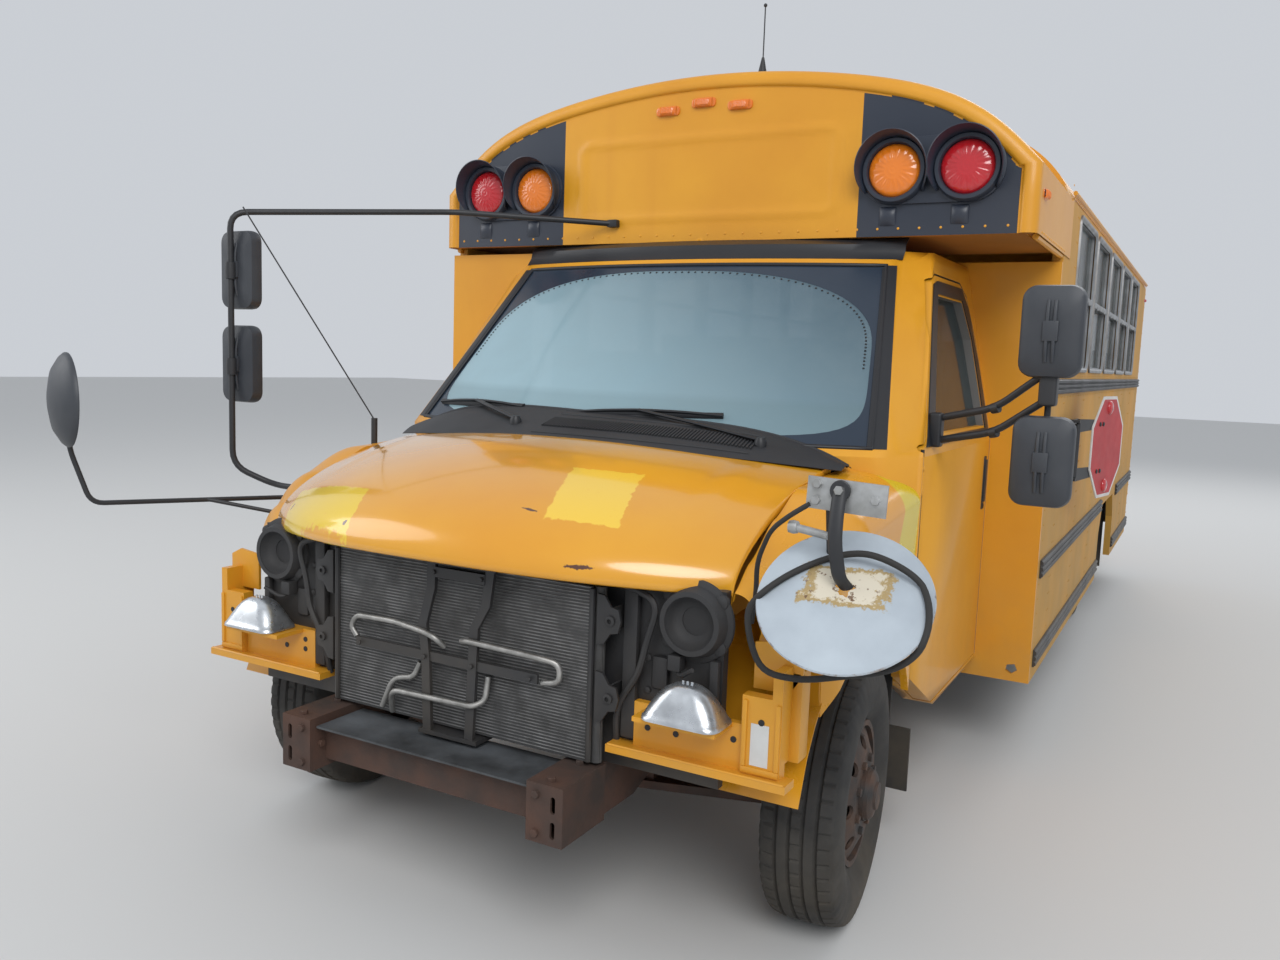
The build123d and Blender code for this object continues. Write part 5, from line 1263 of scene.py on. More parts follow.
parked = radians(wheelPlan["parked"])
frontAxis = (cos(parked), sin(parked), 0)
for side, hand in ((1, "left"), (-1, "right")):
    makeTyres("treadFront" + hand.capitalize(), [middle("tyre_front_" + hand)], frontAxis, "tyre_front_" + hand,
        "front_wheel_" + hand)
    rear = middle("tyres_rear_" + hand)
    twins = [Vector((side * x, rear.y, rear.z)) for x in tyrePlan["twins"]]
    makeTyres("treadRear" + hand.capitalize(), twins, (1, 0, 0), "tyres_rear_" + hand, "rear_wheels_" + hand)
    # Hub cap, valve and nuts
    hub = middle("tyre_front_" + hand)
    out = Vector(frontAxis) * side
    makeNuts("nutsFront" + hand.capitalize(), hub, out, wheelPlan["front"], "front_wheel_" + hand)
    bm = bmesh.new()
    turned(bm, [(0.072, 0.0), (0.07, 0.012), (0.06, 0.02), (0.04, 0.024), (0.038, 0.03), (0, 0.031)],
        frameOn(hub + out * 0.11, out), 32)
    stem = hub + out * 0.072 + (upward * 0.178)
    pipe(bm, [stem, stem + out * 0.018 + upward * -0.012], 0.0045, 0, 8)
    settle("hubFront" + hand.capitalize(), bm, "wheelSteel", "front_wheel_" + hand)
    makeNuts("nutsRear" + hand.capitalize(), twins[1], Vector((side, 0, 0)), wheelPlan["rear"],
        "rear_wheels_" + hand)
print("wheels made")

# Mirror heads: rounded shells with a glass behind, a ribbed pad in front where the arm clamps
def makeMirror(name, heads, body, replaces):
    # Each head bulges forward; its glass side faces the rear
    bm, glass = bmesh.new(), bmesh.new()
    for centre, wide, high, deep in heads:
        place = Matrix.Translation(Vector(centre))
        rows = []
        for scale, ahead in ((0.9, 0.0), (0.985, 0.002), (1.0, -0.01), (0.995, -0.026), (0.965, -0.042),
                (0.86, -deep * 0.86), (0.62, -deep * 0.97), (0.3, -deep), (0.04, -deep)):
            rows.append([place @ Vector((x, ahead, z)) for x, z in
                roundCorners(wide * scale, high * scale, min(wide, high) * scale * 0.24, 6)])
        grid(bm, rows, closeColumns=True, ends=True)
        tall = place @ Vector((0, -deep - 0.004, 0))
        for dx in (-0.01, 0.01):
            pipe(bm, [place @ Vector((dx, off - deep, high * up)) for off, up in
                ((0.004, -0.33), (-0.004, -0.2), (-0.004, 0.2), (0.004, 0.33))], 0.006, 0.03, 8)
        block(bm, tall - Vector((0.022, 0.006, 0.03)), tall + Vector((0.022, 0.01, 0.03)), 0.005)
        plate(glass, roundCorners(wide * 0.86, high * 0.9, 0.03, 6), place @ Matrix.Translation((0, 0.0035,
            0)) @ upright, 0.003)
    settle(name, bm, "mirrorShell", body, replaces, angle=50)
    settle(name + "Glass", glass, "mirrorFace", body)


# Left pair on twin bent arms from the door
mirrorPlan = dict(left=(1.345, 0.468), leftLevels=(1.702, 1.322), leftSize=(0.176, 0.268, 0.056),
    pole=(-1.42, -0.15), rightLevels=(1.855, 1.51), rightSize=(0.168, 0.286, 0.052))
leftHeads = [(at(*mirrorPlan["left"], z), *mirrorPlan["leftSize"]) for z in mirrorPlan["leftLevels"]]
makeMirror("mirrorLeft", leftHeads, "driver_door", ["mirrors_left"])
bm = bmesh.new()
for low, mid, high in ((1.355, 1.395, 1.505), (1.425, 1.47, 1.59)):
    pipe(bm, [at(1.000, 0.56, low), at(1.19, 0.52, mid), at(1.345, 0.455, high)], 0.0115, 0.05, 12)
    turned(bm, [(0.016, -0.012), (0.017, 0), (0.016, 0.012), (0, 0.012)],
        frameOn(at(1.19, 0.52, mid), (0.9, -0.3, 0.25)), 14)
pipe(bm, [at(1.345, 0.484, 1.22), at(1.345, 0.484, 1.8)], 0.0095, 0, 12)
block(bm, at(0.985, 0.535, 1.335), at(1.026, 0.585, 1.445), 0.01, steps=3)
block(bm, at(1.32, 0.44, 1.485), at(1.37, 0.5, 1.61), 0.01, steps=3)
settle("mirrorArmsLeft", bm, "satinBlack", "driver_door", angle=45)

# Right pair on the pole that braces to the fender and the cap, with the far cross view mirror
pole = mirrorPlan["pole"]
rightHeads = [(at(pole[0], pole[1] + 0.068, z), *mirrorPlan["rightSize"]) for z in mirrorPlan["rightLevels"]]
makeMirror("mirrorRight", rightHeads, "chassis", ["mirrors_right"])
bm = bmesh.new()
pipe(bm, [at(-1.000, -0.06, 1.06), at(-1.3, -0.06, 1.06), at(pole[0], pole[1], 1.13),
    at(pole[0], pole[1], 2.06), at(-0.9, 0.5, 2.13), at(-0.375, 0.822, 2.11)], 0.0112, 0.06, 12)
pipe(bm, [at(-0.995, -0.09, 1.03), at(-1.18, -0.11, 1.03), at(-1.34, -0.765, 1.06),
    at(-1.385, -0.805, 1.24), at(-1.364, -0.818, 1.38)], 0.0082, 0.04, 12)
pipe(bm, [at(-1.25, -0.4, 1.045), at(-1.06, -0.2, 0.985), at(-0.99, -0.1, 0.97)], 0.007, 0.03, 10)
for z in (1.5, 1.85):
    turned(bm, [(0.0, -0.03), (0.019, -0.03), (0.02, 0), (0.019, 0.03), (0, 0.03)],
        Matrix.Translation(at(pole[0], pole[1], z)), 16)
block(bm, at(-0.395, 0.806, 2.095), at(-0.35, 0.836, 2.125), 0.006)
settle("mirrorPoleRight", bm, "satinBlack", angle=45)
bm = bmesh.new()
spot = frameOn(at(-1.364, -0.82, 1.39), (-0.35, -0.94, 0))
turned(bm, [(0.0, 0.05), (0.055, 0.046), (0.105, 0.034), (0.138, 0.014), (0.149, 0.002), (0.149, -0.004),
    (0.142, -0.004)], spot, 40)
settle("crossViewShell", bm, "mirrorShell", angle=50)
bm = bmesh.new()
turned(bm, [(0.144, -0.004), (0.12, -0.0045), (0.06, -0.005), (0, -0.005)], spot, 40)
settle("crossViewGlass", bm, "mirrorFace", angle=50)

# Broken left cross view mirror: bare white dish with a torn hole, and its rubber ring
dishPlan = dict(centre=(1.104, -0.612, 1.068), facing=(0.1, -0.66, 0.74), rubber=0.0075)
dishFacing = Vector(dishPlan["facing"]).normalized()
dishCentre = at(*dishPlan["centre"])
dishSpot = frameOn(dishCentre, dishFacing)


def dishPaint():
    w = Wiring("dishWhite")
    colour = w.mix(w.ramp(w.noise(6, 5), 0.35, 0.7), (0.47, 0.53, 0.58), (0.38, 0.43, 0.48))
    # A scraped label: an oblong of old glue and rust round the hole
    besides = w.times(w.maths("ABSOLUTE", w.minus(w.axis("X"), dishCentre.x)), 0.55)
    above = w.maths("ABSOLUTE", w.minus(w.axis("Z"), dishCentre.z + 0.03))
    far = w.maths("MAXIMUM", besides, w.times(above, 1.5))
    torn = w.plus(far, w.times(w.minus(w.noise(36, 6, 0.7), 0.5), 0.07))
    colour = w.mix(w.ramp(torn, 0.054, 0.05), colour, (0.4, 0.29, 0.13))
    colour = w.mix(w.ramp(torn, 0.043, 0.038), colour, (0.66, 0.6, 0.48))
    colour = w.mix(w.times(w.ramp(torn, 0.056, 0.05), w.ramp(w.noise(55, 6, 0.7), 0.6, 0.64)), colour,
        (0.16, 0.09, 0.05))
    rim = w.add("ShaderNodeVectorMath", {0: w.place, 1: tuple(dishCentre)}, operation="DISTANCE").outputs["Value"]
    worn = w.plus(rim, w.times(w.minus(w.noise(30, 6, 0.7), 0.5), 0.03))
    colour = w.mix(w.ramp(worn, 0.194, 0.199), colour, (0.2, 0.13, 0.08))
    colour = w.mix(w.ramp(w.noise(24, 7, 0.75), 0.7, 0.72), colour, (0.3, 0.18, 0.1))
    return w.done(colour, w.noise(9, 4), (0.3, 0.5), {}, (w.noise(60, 4), 0.04))


addFinish("dishWhite", "mirror_plate", dishPaint())
bm = bmesh.new()
rows = []
for a in around(72):
    ragged = 0.019 * (1 + 0.22 * sin(3 * a) + 0.15 * sin(5 * a + 1) + 0.1 * sin(9 * a))
    line = []
    for r, h in ((None, 0.004), (None, 0.0105), (0.06, 0.0108), (0.1, 0.0105), (0.14, 0.009), (0.172, 0.007),
            (0.186, 0.008), (0.193, 0.01), (0.195, 0.006), (0.192, 0.0), (0.18, -0.002), (0.1, 0.002)):
        if r is None:
            line.append(dishSpot @ Vector((ragged * cos(a) - 0.004, ragged * sin(a) + 0.028, h)))
        else:
            line.append(dishSpot @ Vector((r * cos(a), r * sin(a), h)))
    line.append(line[0])
    rows.append(line)
grid(bm, rows, closeRows=True)
bmesh.ops.remove_doubles(bm, verts=bm.verts, dist=1e-6)
settle("crossViewDish", bm, "dishWhite", replaces=["crossview_left"], angle=50)

bm = bmesh.new()
outline = [(1.000, 1.266), (1.181, 1.258), (1.184, 1.33), (1.003, 1.338)]
plate(bm, outline, Matrix.Translation(at(0, -0.6, 0)) @ upright, 0.006, 0.002)
settle("crossViewPlate", bm, "zincPlate")
bm = bmesh.new()
pipe(bm, [at(1.08, -0.611, 1.318), at(1.08, -0.628, 1.262), at(1.082, -0.638, 1.2), at(1.09, -0.618, 1.12),
    at(1.1, -0.588, 1.094)], 0.0165, 0.05, 12, flat=0.5, up=(0, -1, 0))
turned(bm, [(0.0, 0.0), (0.022, 0.0), (0.024, 0.006), (0.022, 0.012), (0, 0.012)],
    frameOn(at(1.08, -0.606, 1.31), (0, -1, 0.1)), 20)
pipe(bm, [at(0.9, -0.4, 0.935), at(1.02, -0.43, 0.96), at(1.046, -0.56, 1.215), at(1.052, -0.596, 1.3)],
    0.01, 0.04, 12)
block(bm, at(0.965, -0.475, 0.872), at(1.065, -0.395, 0.96), 0.008)
settle("crossViewStrap", bm, "satinBlack", angle=45)
places = [(at(1.08, -0.619, 1.312), (0, -1, 0.1), (1, 0, 0)), (at(1.026, -0.606, 1.322), (0, -1, 0), (1, 0, 0)),
    (at(1.024, -0.606, 1.285), (0, -1, 0), (1, 0, 0)), (at(1.158, -0.606, 1.296), (0, -1, 0), (1, 0, 0))]
repeat("crossViewBolts", hexShape, places, "zincPlate", size=1.0)
# Ball joint stay and the old cable tied to it
bm = bmesh.new()
pipe(bm, [at(0.975, -0.588, 1.215), at(1.052, -0.592, 1.205)], 0.0095, 0, 12)
turned(bm, [(0.0, -0.012), (0.014, -0.01), (0.016, 0), (0.014, 0.01), (0, 0.012)],
    frameOn(at(0.968, -0.587, 1.216), (1, 0, 0)), 16)
settle("crossViewStay", bm, "zincPlate", angle=45)
bm = bmesh.new()
pipe(bm, [at(1.01, -0.604, 1.275), at(0.965, -0.6, 1.245), at(0.915, -0.59, 1.205), at(0.872, -0.56, 1.12),
    at(0.862, -0.53, 1.04), at(0.85, -0.52, 0.96)], 0.006, 0.08, 8)
settle("crossViewLead", bm, "flapRubber", angle=60)
bm = bmesh.new()
ring = [(0.897, 1.014), (0.932, 0.907), (1.014, 0.889), (1.124, 0.914), (1.235, 0.952), (1.29, 1.01),
    (1.286, 1.075), (1.24, 1.132), (1.157, 1.166), (1.087, 1.163), (1.001, 1.128), (0.936, 1.078)]
path = []
count = len(ring)
for i in range(count):
    for k in range(6):
        t = k / 6
        p = [Vector((ring[(i + d) % count][0], 0, ring[(i + d) % count][1])) for d in (-1, 0, 1, 2)]
        q = 0.5 * ((2 * p[1]) + (p[2] - p[0]) * t + (2 * p[0] - 5 * p[1] + 4 * p[2] - p[3]) * t * t
            + (3 * p[1] - p[0] - 3 * p[2] + p[3]) * t ** 3)
        plane = dishCentre.y + (0.74 * (q.z - dishCentre.z) + 0.1 * (q.x - dishCentre.x)) / 0.66
        path.append(Vector((q.x, max(min(plane - 0.026, aft(-0.56)), aft(-0.66)), q.z)))
rows = []
for i, p in enumerate(path):
    ahead = (path[(i + 1) % len(path)] - path[i - 1]).normalized()
    side = dishFacing.cross(ahead).normalized()
    top = ahead.cross(side)
    rows.append([p + (side * cos(a) + top * sin(a)) * dishPlan["rubber"] for a in around(10)])
grid(bm, rows, closeRows=True, closeColumns=True)
settle("crossViewRubber", bm, "flapRubber", angle=60)
print("mirrors made")

# Cab and door skins: copies of the frame's forms with the lower front corner cut off along the wheel arch
def cutCopy(name, node, body):
    bm = bmesh.new()
    bm.from_mesh(nodes[node].data)
    bmesh.ops.remove_doubles(bm, verts=bm.verts, dist=1e-5)
    for anchor, slope in ((at(0, 0.44, 0.6), (0, 0.38, -0.194)), (at(0, 0.4, 0.64), (0, 0.102, -0.117))):
        normal = Vector((1, 0, 0)).cross(Vector(slope).normalized())
        normal = normal if normal.y < 0 else -normal
        low = [f for f in bm.faces if min(v.co.z for v in f.verts) < 0.66]
        geom = low + list({e for f in low for e in f.edges}) + list({v for f in low for v in f.verts})
        cut = bmesh.ops.bisect_plane(bm, geom=geom, dist=1e-5, plane_co=anchor, plane_no=normal, clear_outer=True)
        edges = [e for e in cut["geom_cut"] if isinstance(e, bmesh.types.BMEdge)]
        if edges:
            bmesh.ops.triangle_fill(bm, edges=edges, use_beauty=True)
    centre = at(0, 0.95, 1.3)
    bm.normal_update()
    for face in bm.faces:
        mid = face.calc_center_median()
        if face.normal.dot((mid - centre).normalized()) < -0.15 and mid.z > 0.7:
            face.material_index = 1
    return settle(name, bm, ["busYellow", "cabinGrey"], body, [node], angle=30, keepFaces=True)


cutCopy("cabSkin", "cab_shell", "chassis")
cutCopy("doorSkin", "driver_door", "driver_door")

doorTree = BVHTree.FromPolygons([v.co for v in nodes["driver_door"].data.vertices],
    [p.vertices for p in nodes["driver_door"].data.polygons])


def doorAt(station, z, out=0.0):
    # The door's outer surface at a station and height
    found = doorTree.ray_cast(at(1.4, station, z), Vector((-1, 0, 0)))[0]
    return at(found.x + out if found else 1.0, station, z)


def ringOf(corners, steps=6):
    loop = []
    for (ay, az), (by, bz) in zip(corners, corners[1:] + corners[:1]):
        loop += [(ay + (by - ay) * k / steps, az + (bz - az) * k / steps) for k in range(steps)]
    return loop


# Black surround of the door window with the mirror's sail, rubber lip inside
outerLoop = ringOf([(0.472, 1.338), (0.505, 1.372), (0.862, 1.873), (0.925, 1.888), (1.312, 1.89), (1.395, 1.815),
    (1.452, 1.58), (1.462, 1.338)])
innerLoop = ringOf([(0.58, 1.362), (0.592, 1.378), (0.893, 1.838), (0.905, 1.842), (1.293, 1.842), (1.377, 1.702),
    (1.394, 1.55), (1.407, 1.362)])
bm = bmesh.new()
rows = []
for (oy, oz), (iy, iz) in zip(outerLoop, innerLoop):
    a, b = doorAt(oy, oz), doorAt(iy, iz)
    rows.append([a.lerp(b, share) + Vector((out, 0, 0)) for share, out in
        ((0, 0.0003), (0, 0.004), (0.5, 0.005), (1, 0.005), (1, 0.003), (1, -0.02))])
grid(bm, rows, closeRows=True)
settle("doorSurround", bm, "seamBlack", "driver_door", angle=50)
bm = bmesh.new()
spot = doorAt(1.418, 1.145)
block(bm, spot + Vector((-0.004, -0.02, -0.105)), spot + Vector((0.003, 0.02, 0.105)), 0.003)
block(bm, spot + Vector((0.000, -0.013, -0.075)), spot + Vector((0.01, 0.011, 0.092)), 0.004)
turned(bm, [(0.01, 0), (0.01, 0.003), (0, 0.003)], frameOn(spot + Vector((0.003, 0, -0.092)), (1, 0, 0)), 16)
settle("doorHandle", bm, "satinBlack", "driver_door", angle=45)
bm = bmesh.new()
pipe(bm, [doorAt(s, z, -0.004) for s, z in ((0.443, 0.66), (0.443, 1.332))], 0.006, 0, 8)
settle("doorSeal", bm, "seamBlack", "driver_door", angle=60)

# Windscreen border carried over on to the pillars
bm = bmesh.new()
for side in (-1, 1):
    rows = []
    for k in range(13):
        v = -1.0 + 2.0 * k / 12
        rows.append([screenAt(side * u, v, out) for u,
            out in ((0.985, 0.003), (1.003, 0.0135), (1.025, 0.0138), (1.047, 0.0125))])
    grid(bm, rows)
settle("pillarBorder", bm, "seamBlack", angle=60)


# Old lime patch on the left fender's rear edge, next to the door
def fenderPaint():
    w = Wiring("fenderLime")
    colour = w.mix(w.ramp(w.noise(1.4, 5), 0.35, 0.65), (0.74, 0.34, 0.016), (0.66, 0.28, 0.012))
    y, z = w.axis("Y"), w.axis("Z")
    lean = w.plus(y, w.times(w.minus(z, 1.15), -0.35))
    area = w.times(w.ramp(lean, aft(0.24), aft(0.25)), w.ramp(z, 1.000, 1.012))
    colour = w.mix(w.times(area, w.ramp(w.noise(90, 6, 0.7), 0.26, 0.32)), colour, (0.66, 0.52, 0.02))
    colour = w.mix(w.ramp(w.noise(34, 7, 0.75), 0.79, 0.8), colour, (0.1, 0.04, 0.02))
    return w.done(colour, w.noise(5, 5), (0.2, 0.34), {"Coat Weight": 0.25, "Coat Roughness": 0.12},
        (w.noise(260, 3), 0.03))


bpy.data.objects["fenderSkinLeft"].data.materials[0] = fenderPaint()

# Ribbed rub rails
railPlan = dict(deep=0.0138, front={1: 1.56, -1: 1.78}, rear=6.29, arch=0.51,
    rows=((1.5, 1.56, False), (0.765, 0.838, True), (0.4, 0.47, True)))  # foot, head, split at the arch
bm = bmesh.new()
gapFrom, gapTo = bodyPlan["wheelbase"] - railPlan["arch"], bodyPlan["wheelbase"] + railPlan["arch"]
profile = [(0, 0), (0.55, 0), (0.6, 0.05), (1, 0.1), (1, 0.25), (0.45, 0.31), (0.45, 0.37), (1, 0.43), (1, 0.57),
    (0.45, 0.63), (0.45, 0.69), (1, 0.75), (1, 0.9), (0.6, 0.95), (0.55, 1), (0, 1)]
for low, high, split in railPlan["rows"]:
    for side, first in railPlan["front"].items():
        for start, stop in (((first, gapFrom), (gapTo, railPlan["rear"])) if split
                else ((first, railPlan["rear"]),)):
            place = Matrix(((side, 0, 0, side * bodyPlan["half"]), (0, 0, 1, aft(start)), (0, 1, 0, low),
                (0, 0, 0, 1)))
            outline = [(a * railPlan["deep"], b * (high - low)) for a, b in profile]
            plate(bm, outline if side < 0 else outline[::-1], place, stop - start)
settle("rubRailRibs", bm, "satinBlack", replaces=["rub_rails"], angle=30)

# Rivets: window band, panel seams and the foot of the skin
places = []
for side in (-1, 1):
    first, edge = (1.6, 1.565) if side > 0 else (1.8, 1.79)
    lines = [(first, 6.29, z, z, 0.098) for z in (1.485, 1.575, 2.268)]  # from, to, foot, head, pitch
    for k in range(7):
        station = 1.885 + bodyPlan["bay"] * k
        low = 1.08 if abs(station - bodyPlan["wheelbase"]) < 0.5 else 0.5
        if station > first:
            for s in (station - 0.018, station + 0.018):
                lines += [(s, s, 1.62, 2.22, 0.1), (s, s, low, 1.46, 0.075)]
    lines += [(first, 3.95, 0.452, 0.452, 0.12), (edge, edge, 0.5, 1.46, 0.06)]
    for start, stop, low, high, pitch in lines:
        places += rowOf(at(side * 1.2202, start, low), at(side * 1.2202, stop, high), pitch, (side, 0, 0))
repeat("sideRivets", rivetShape, places, "sideYellow", size=0.8)

# Sliding sash windows: rolled frame, meeting rail and two latches
sashPlan = dict(wide=0.655, high=0.655, deep=0.01)


def sashShape(bm):
    w, h, d = sashPlan["wide"], sashPlan["high"], sashPlan["deep"]
    rows = []
    for inset, up in ((0.0, 0.0), (0.001, d * 0.8), (0.006, d), (0.014, d * 0.85), (0.019, 0.002), (0.024, 0.0)):
        rows.append([(x, y, up) for x, y in roundCorners(w - 2 * inset, h - 2 * inset, 0.045 - inset * 0.8, 4)])
    grid(bm, rows, closeColumns=True)
    block(bm, (-w / 2 + 0.02, -0.014, -0.004), (w / 2 - 0.02, 0.012, d * 0.7), 0.003, steps=1)
    for x in (-0.17, 0.17):
        block(bm, (x - 0.02, -0.02, 0.003), (x + 0.02, -0.002, d * 1.1), 0.003, steps=1)


sashUnit = unit("sashUnit", sashShape)
places = [(at(side * 1.2195, 1.94 + bodyPlan["bay"] * k + sashPlan["wide"] / 2, 1.9175), (side, 0, 0), (0, 1, 0))
    for side in (-1, 1) for k in range(5)]
repeat("windowSashes", sashUnit, places, "sashMetal")
bm = bmesh.new()
for side in (-1, 1):
    pipe(bm, [at(side * 1.2235, 1.69, 2.29), at(side * 1.2235, 6.3, 2.29)], 0.009, 0, 8)
    block(bm, at(side * 1.2195, 1.69, 2.275), at(side * 1.2225, 6.3, 2.3), 0.001)
settle("dripRails", bm, "busYellow", angle=40)

# Stop arm: blank octagon with a pale border on black arms, black back plates
signPlan = dict(turn=11, hinge=(1.275, 1.95, 1.26), reach=0.4, across=0.4565, face=0.428, arm=0.105, lamp=0.17625)
signTurn = radians(signPlan["turn"])
signAlong = Vector((sin(signTurn), cos(signTurn), 0))
signOut = Vector((signAlong.y, -signAlong.x, 0))
hingeSpot = at(*signPlan["hinge"])
signSpot = hingeSpot + signAlong * signPlan["reach"]


def octagon(across):
    r = across / 2 / cos(pi / 8)
    return [(r * cos(pi / 8 + k * pi / 4), r * sin(pi / 8 + k * pi / 4)) for k in range(8)]


place = Matrix.Translation(signSpot) @ Matrix((signAlong, upward, -signOut)).transposed().to_4x4()
bm = bmesh.new()
plate(bm, octagon(signPlan["across"]), place @ Matrix.Translation((0, 0, -0.0118)), 0.0055, 0.001)
settle("signBlade", bm, "signWhite", "stop_sign", ["stop_sign"])
for name, z in (("signFaceOut", -0.0122), ("signFaceIn", -0.0064)):
    bm = bmesh.new()
    plate(bm, octagon(signPlan["face"]), place @ Matrix.Translation((0, 0, z)), 0.0006)
    settle(name, bm, "signRed", "stop_sign")
bm = bmesh.new()
for up in (-signPlan["arm"], signPlan["arm"]):
    arm = [(-0.392, up - 0.028), (-0.17, up - 0.022), (-0.06, up - 0.012), (-0.06, up + 0.012), (-0.17, up + 0.022),
        (-0.392, up + 0.028)]
    plate(bm, arm, place @ Matrix.Translation((0, 0, -0.0058)), 0.011, 0.002)
turned(bm, [(0.0, -0.113), (0.0118, -0.113), (0.0118, 0.113), (0.0, 0.113)], Matrix.Translation(hingeSpot), 20)
for up in (-signPlan["arm"], signPlan["arm"]):
    for dx in (-0.13, -0.085):
        turned(bm, [(0.01, 0), (0.01, 0.004), (0.005, 0.006), (0, 0.006)],
            frameOn(signSpot + signAlong * dx + upward * up + signOut * 0.012, signOut), 10)
settle("signArms", bm, "satinBlack", "stop_sign", angle=40)
for name, side in (("Lower", -1), ("Upper", 1)):
    bm = bmesh.new()
    turned(bm, [(0.03, 0.0), (0.029, 0.006), (0.02, 0.01), (0, 0.012)],
        frameOn(signSpot + Vector((0, 0, side * signPlan["lamp"])) + signOut * 0.0121, signOut), 24)
    settle("signLamp" + name, bm, "redLens", "stop_sign", angle=60)
bm = bmesh.new()
for low, high in ((1.142, 1.218), (1.302, 1.378)):
    block(bm, at(1.2205, 1.96, low), at(1.2265, 2.42, high), 0.004)
block(bm, at(1.2205, 1.8, 1.14), at(1.2475, 1.925, 1.38), 0.01, steps=3)
for z in (1.16, 1.36):
    pipe(bm, [at(1.246, 1.86, z), at(1.256, 1.9, z), at(1.27, 1.935, z)], 0.006, 0.02, 8)
settle("stopArmHousing", bm, "satinBlack", angle=40)
print("sides made")

# Seats: vinyl covers blown up by cloth pressure, kept inside the room of their frame solids
seatPlan = dict(voxel=0.009, inset=0.007, pressure=4.0, frames=20, reach=0.016, seam=0.004, seamHalf=0.007)


def padMesh(name, low, high, faceAxis, channels):
    # One cover between two corners: remeshed, blown up, then drawn in at its seams and sewn channels
    p = seatPlan
    low, high = Vector(low), Vector(high)
    inset = Vector([p["inset"]] * 3)
    bm = bmesh.new()
    block(bm, low + inset, high - inset, min(high - low) * 0.34, steps=4)
    holder = addObject(name + "Blown", meshOf(name, bm, False))
    remesh = holder.modifiers.new("voxels", "REMESH")
    remesh.mode, remesh.voxel_size = "VOXEL", p["voxel"]
    still = worked(holder)
    holder.modifiers.remove(remesh)
    holder.data = still
    made = still
    cloth = holder.modifiers.new("cover", "CLOTH")
    cloth.settings.use_pressure = True
    cloth.settings.uniform_pressure_force = p["pressure"]
    cloth.settings.effector_weights.gravity = 0
    cloth.point_cache.frame_end = p["frames"]
    for frame in range(1, p["frames"] + 1):
        bpy.context.scene.frame_set(frame)
    made = worked(holder)
    holder.modifiers.remove(cloth)
    bpy.context.scene.frame_set(1)
    middle, half = (low + high) / 2, (high - low) / 2
    for before, vert in zip(still.vertices, made.vertices):
        move = vert.co - before.co
        spot = before.co + move * min(1, p["reach"] / max(move.length, 1e-9))
        side = spot - middle
        across = [a for a in range(3) if a != faceAxis]
        crown = (1 - (side[across[0]] / half[across[0]]) ** 4) * (1 - (side[across[1]] / half[across[1]]) ** 4)
        spot[faceAxis] += copysign(p["reach"] * 0.35 * max(crown, 0), side[faceAxis])
        for axis, value in [(faceAxis, middle[faceAxis] + half[faceAxis] * 0.42)] + channels:
            off = abs(spot[axis] - value)
            if off < p["seamHalf"]:
                drawn = p["seam"] * (1 - off / p["seamHalf"])
                spot -= (spot - middle).normalized() * drawn if axis == faceAxis else Vector(
                    [copysign(drawn, side[faceAxis]) if a == faceAxis else 0 for a in range(3)])
        vert.co = [min(max(spot[a], low[a] + 0.0005), high[a] - 0.0005) for a in range(3)]
    bpy.data.objects.remove(holder)
    return made


def placePad(name, mesh, shift):
    made = mesh.copy()
    made.transform(Matrix.Translation(shift))
    settle(name, made, "seatVinyl", replaces=["seats"], angle=70)


benchPlan = dict(rows=5, pitch=0.7, across=-1.35, fill=0.8, driverFill=0.7)
benchCushion = padMesh("benchCushion", at(0.2, 2.25, 1.09), at(1.15, 2.67, 1.19), 2, [(0, 0.675)])
benchBack = padMesh("benchBack", at(0.2, 2.6703, 1.09), at(1.15, 2.75, 1.75), 1, [(2, 1.3), (2, 1.62)])
for n in range(benchPlan["rows"]):
    for hand, across in (("Left", 0), ("Right", benchPlan["across"])):
        shift = (across, benchPlan["pitch"] * n, 0)
        placePad(f"benchCushion{hand}{n + 1}", benchCushion, shift)
        placePad(f"benchBack{hand}{n + 1}", benchBack, shift)
placePad("driverCushion", padMesh("driverCushion", at(0.38, 0.93, 1.01), at(0.86, 1.37, 1.11), 2,
    [(0, 0.47), (0, 0.77), (1, aft(1.15))]), (0, 0, 0))
placePad("driverBack", padMesh("driverBack", at(0.4, 1.3703, 1.03), at(0.84, 1.47, 1.7), 1,
                          [(0, 0.48), (0, 0.76), (2, 1.46)]), (0, 0, 0))
print("seats blown up")

# Steering wheel, instrument panel and engine cover
steeringPlan = dict(centre=(0.48, 0.8, 1.28), lean=(0, 0.6, 0.8), rim=0.1825, grip=0.012)
rim, grip, lean = steeringPlan["rim"], steeringPlan["grip"], steeringPlan["lean"]
wheelAt = frameOn(at(*steeringPlan["centre"]), lean)
bm = bmesh.new()
turned(bm, [(rim + grip * cos(a), grip * 0.8 * sin(a)) for a in around(14) + [tau]], wheelAt, 72)
for spoke in (270, 30, 150):
    angle = radians(spoke)
    out = Vector((cos(angle), sin(angle), 0))
    pipe(bm, [wheelAt @ (out * far + Vector((0, 0, z))) for far, z in ((0.03, -0.01), (0.1, -0.006), (rim, 0))],
        0.013, 0.03, 10, flat=0.4, up=lean)
turned(bm, [(0.03, -0.03), (0.039, -0.026), (0.0395, 0.002), (0.036, 0.008), (0.02, 0.0098), (0, 0.0098)], wheelAt,
    32)
settle("steeringRim", bm, "seamBlack", "steering_wheel", ["steering_wheel"])


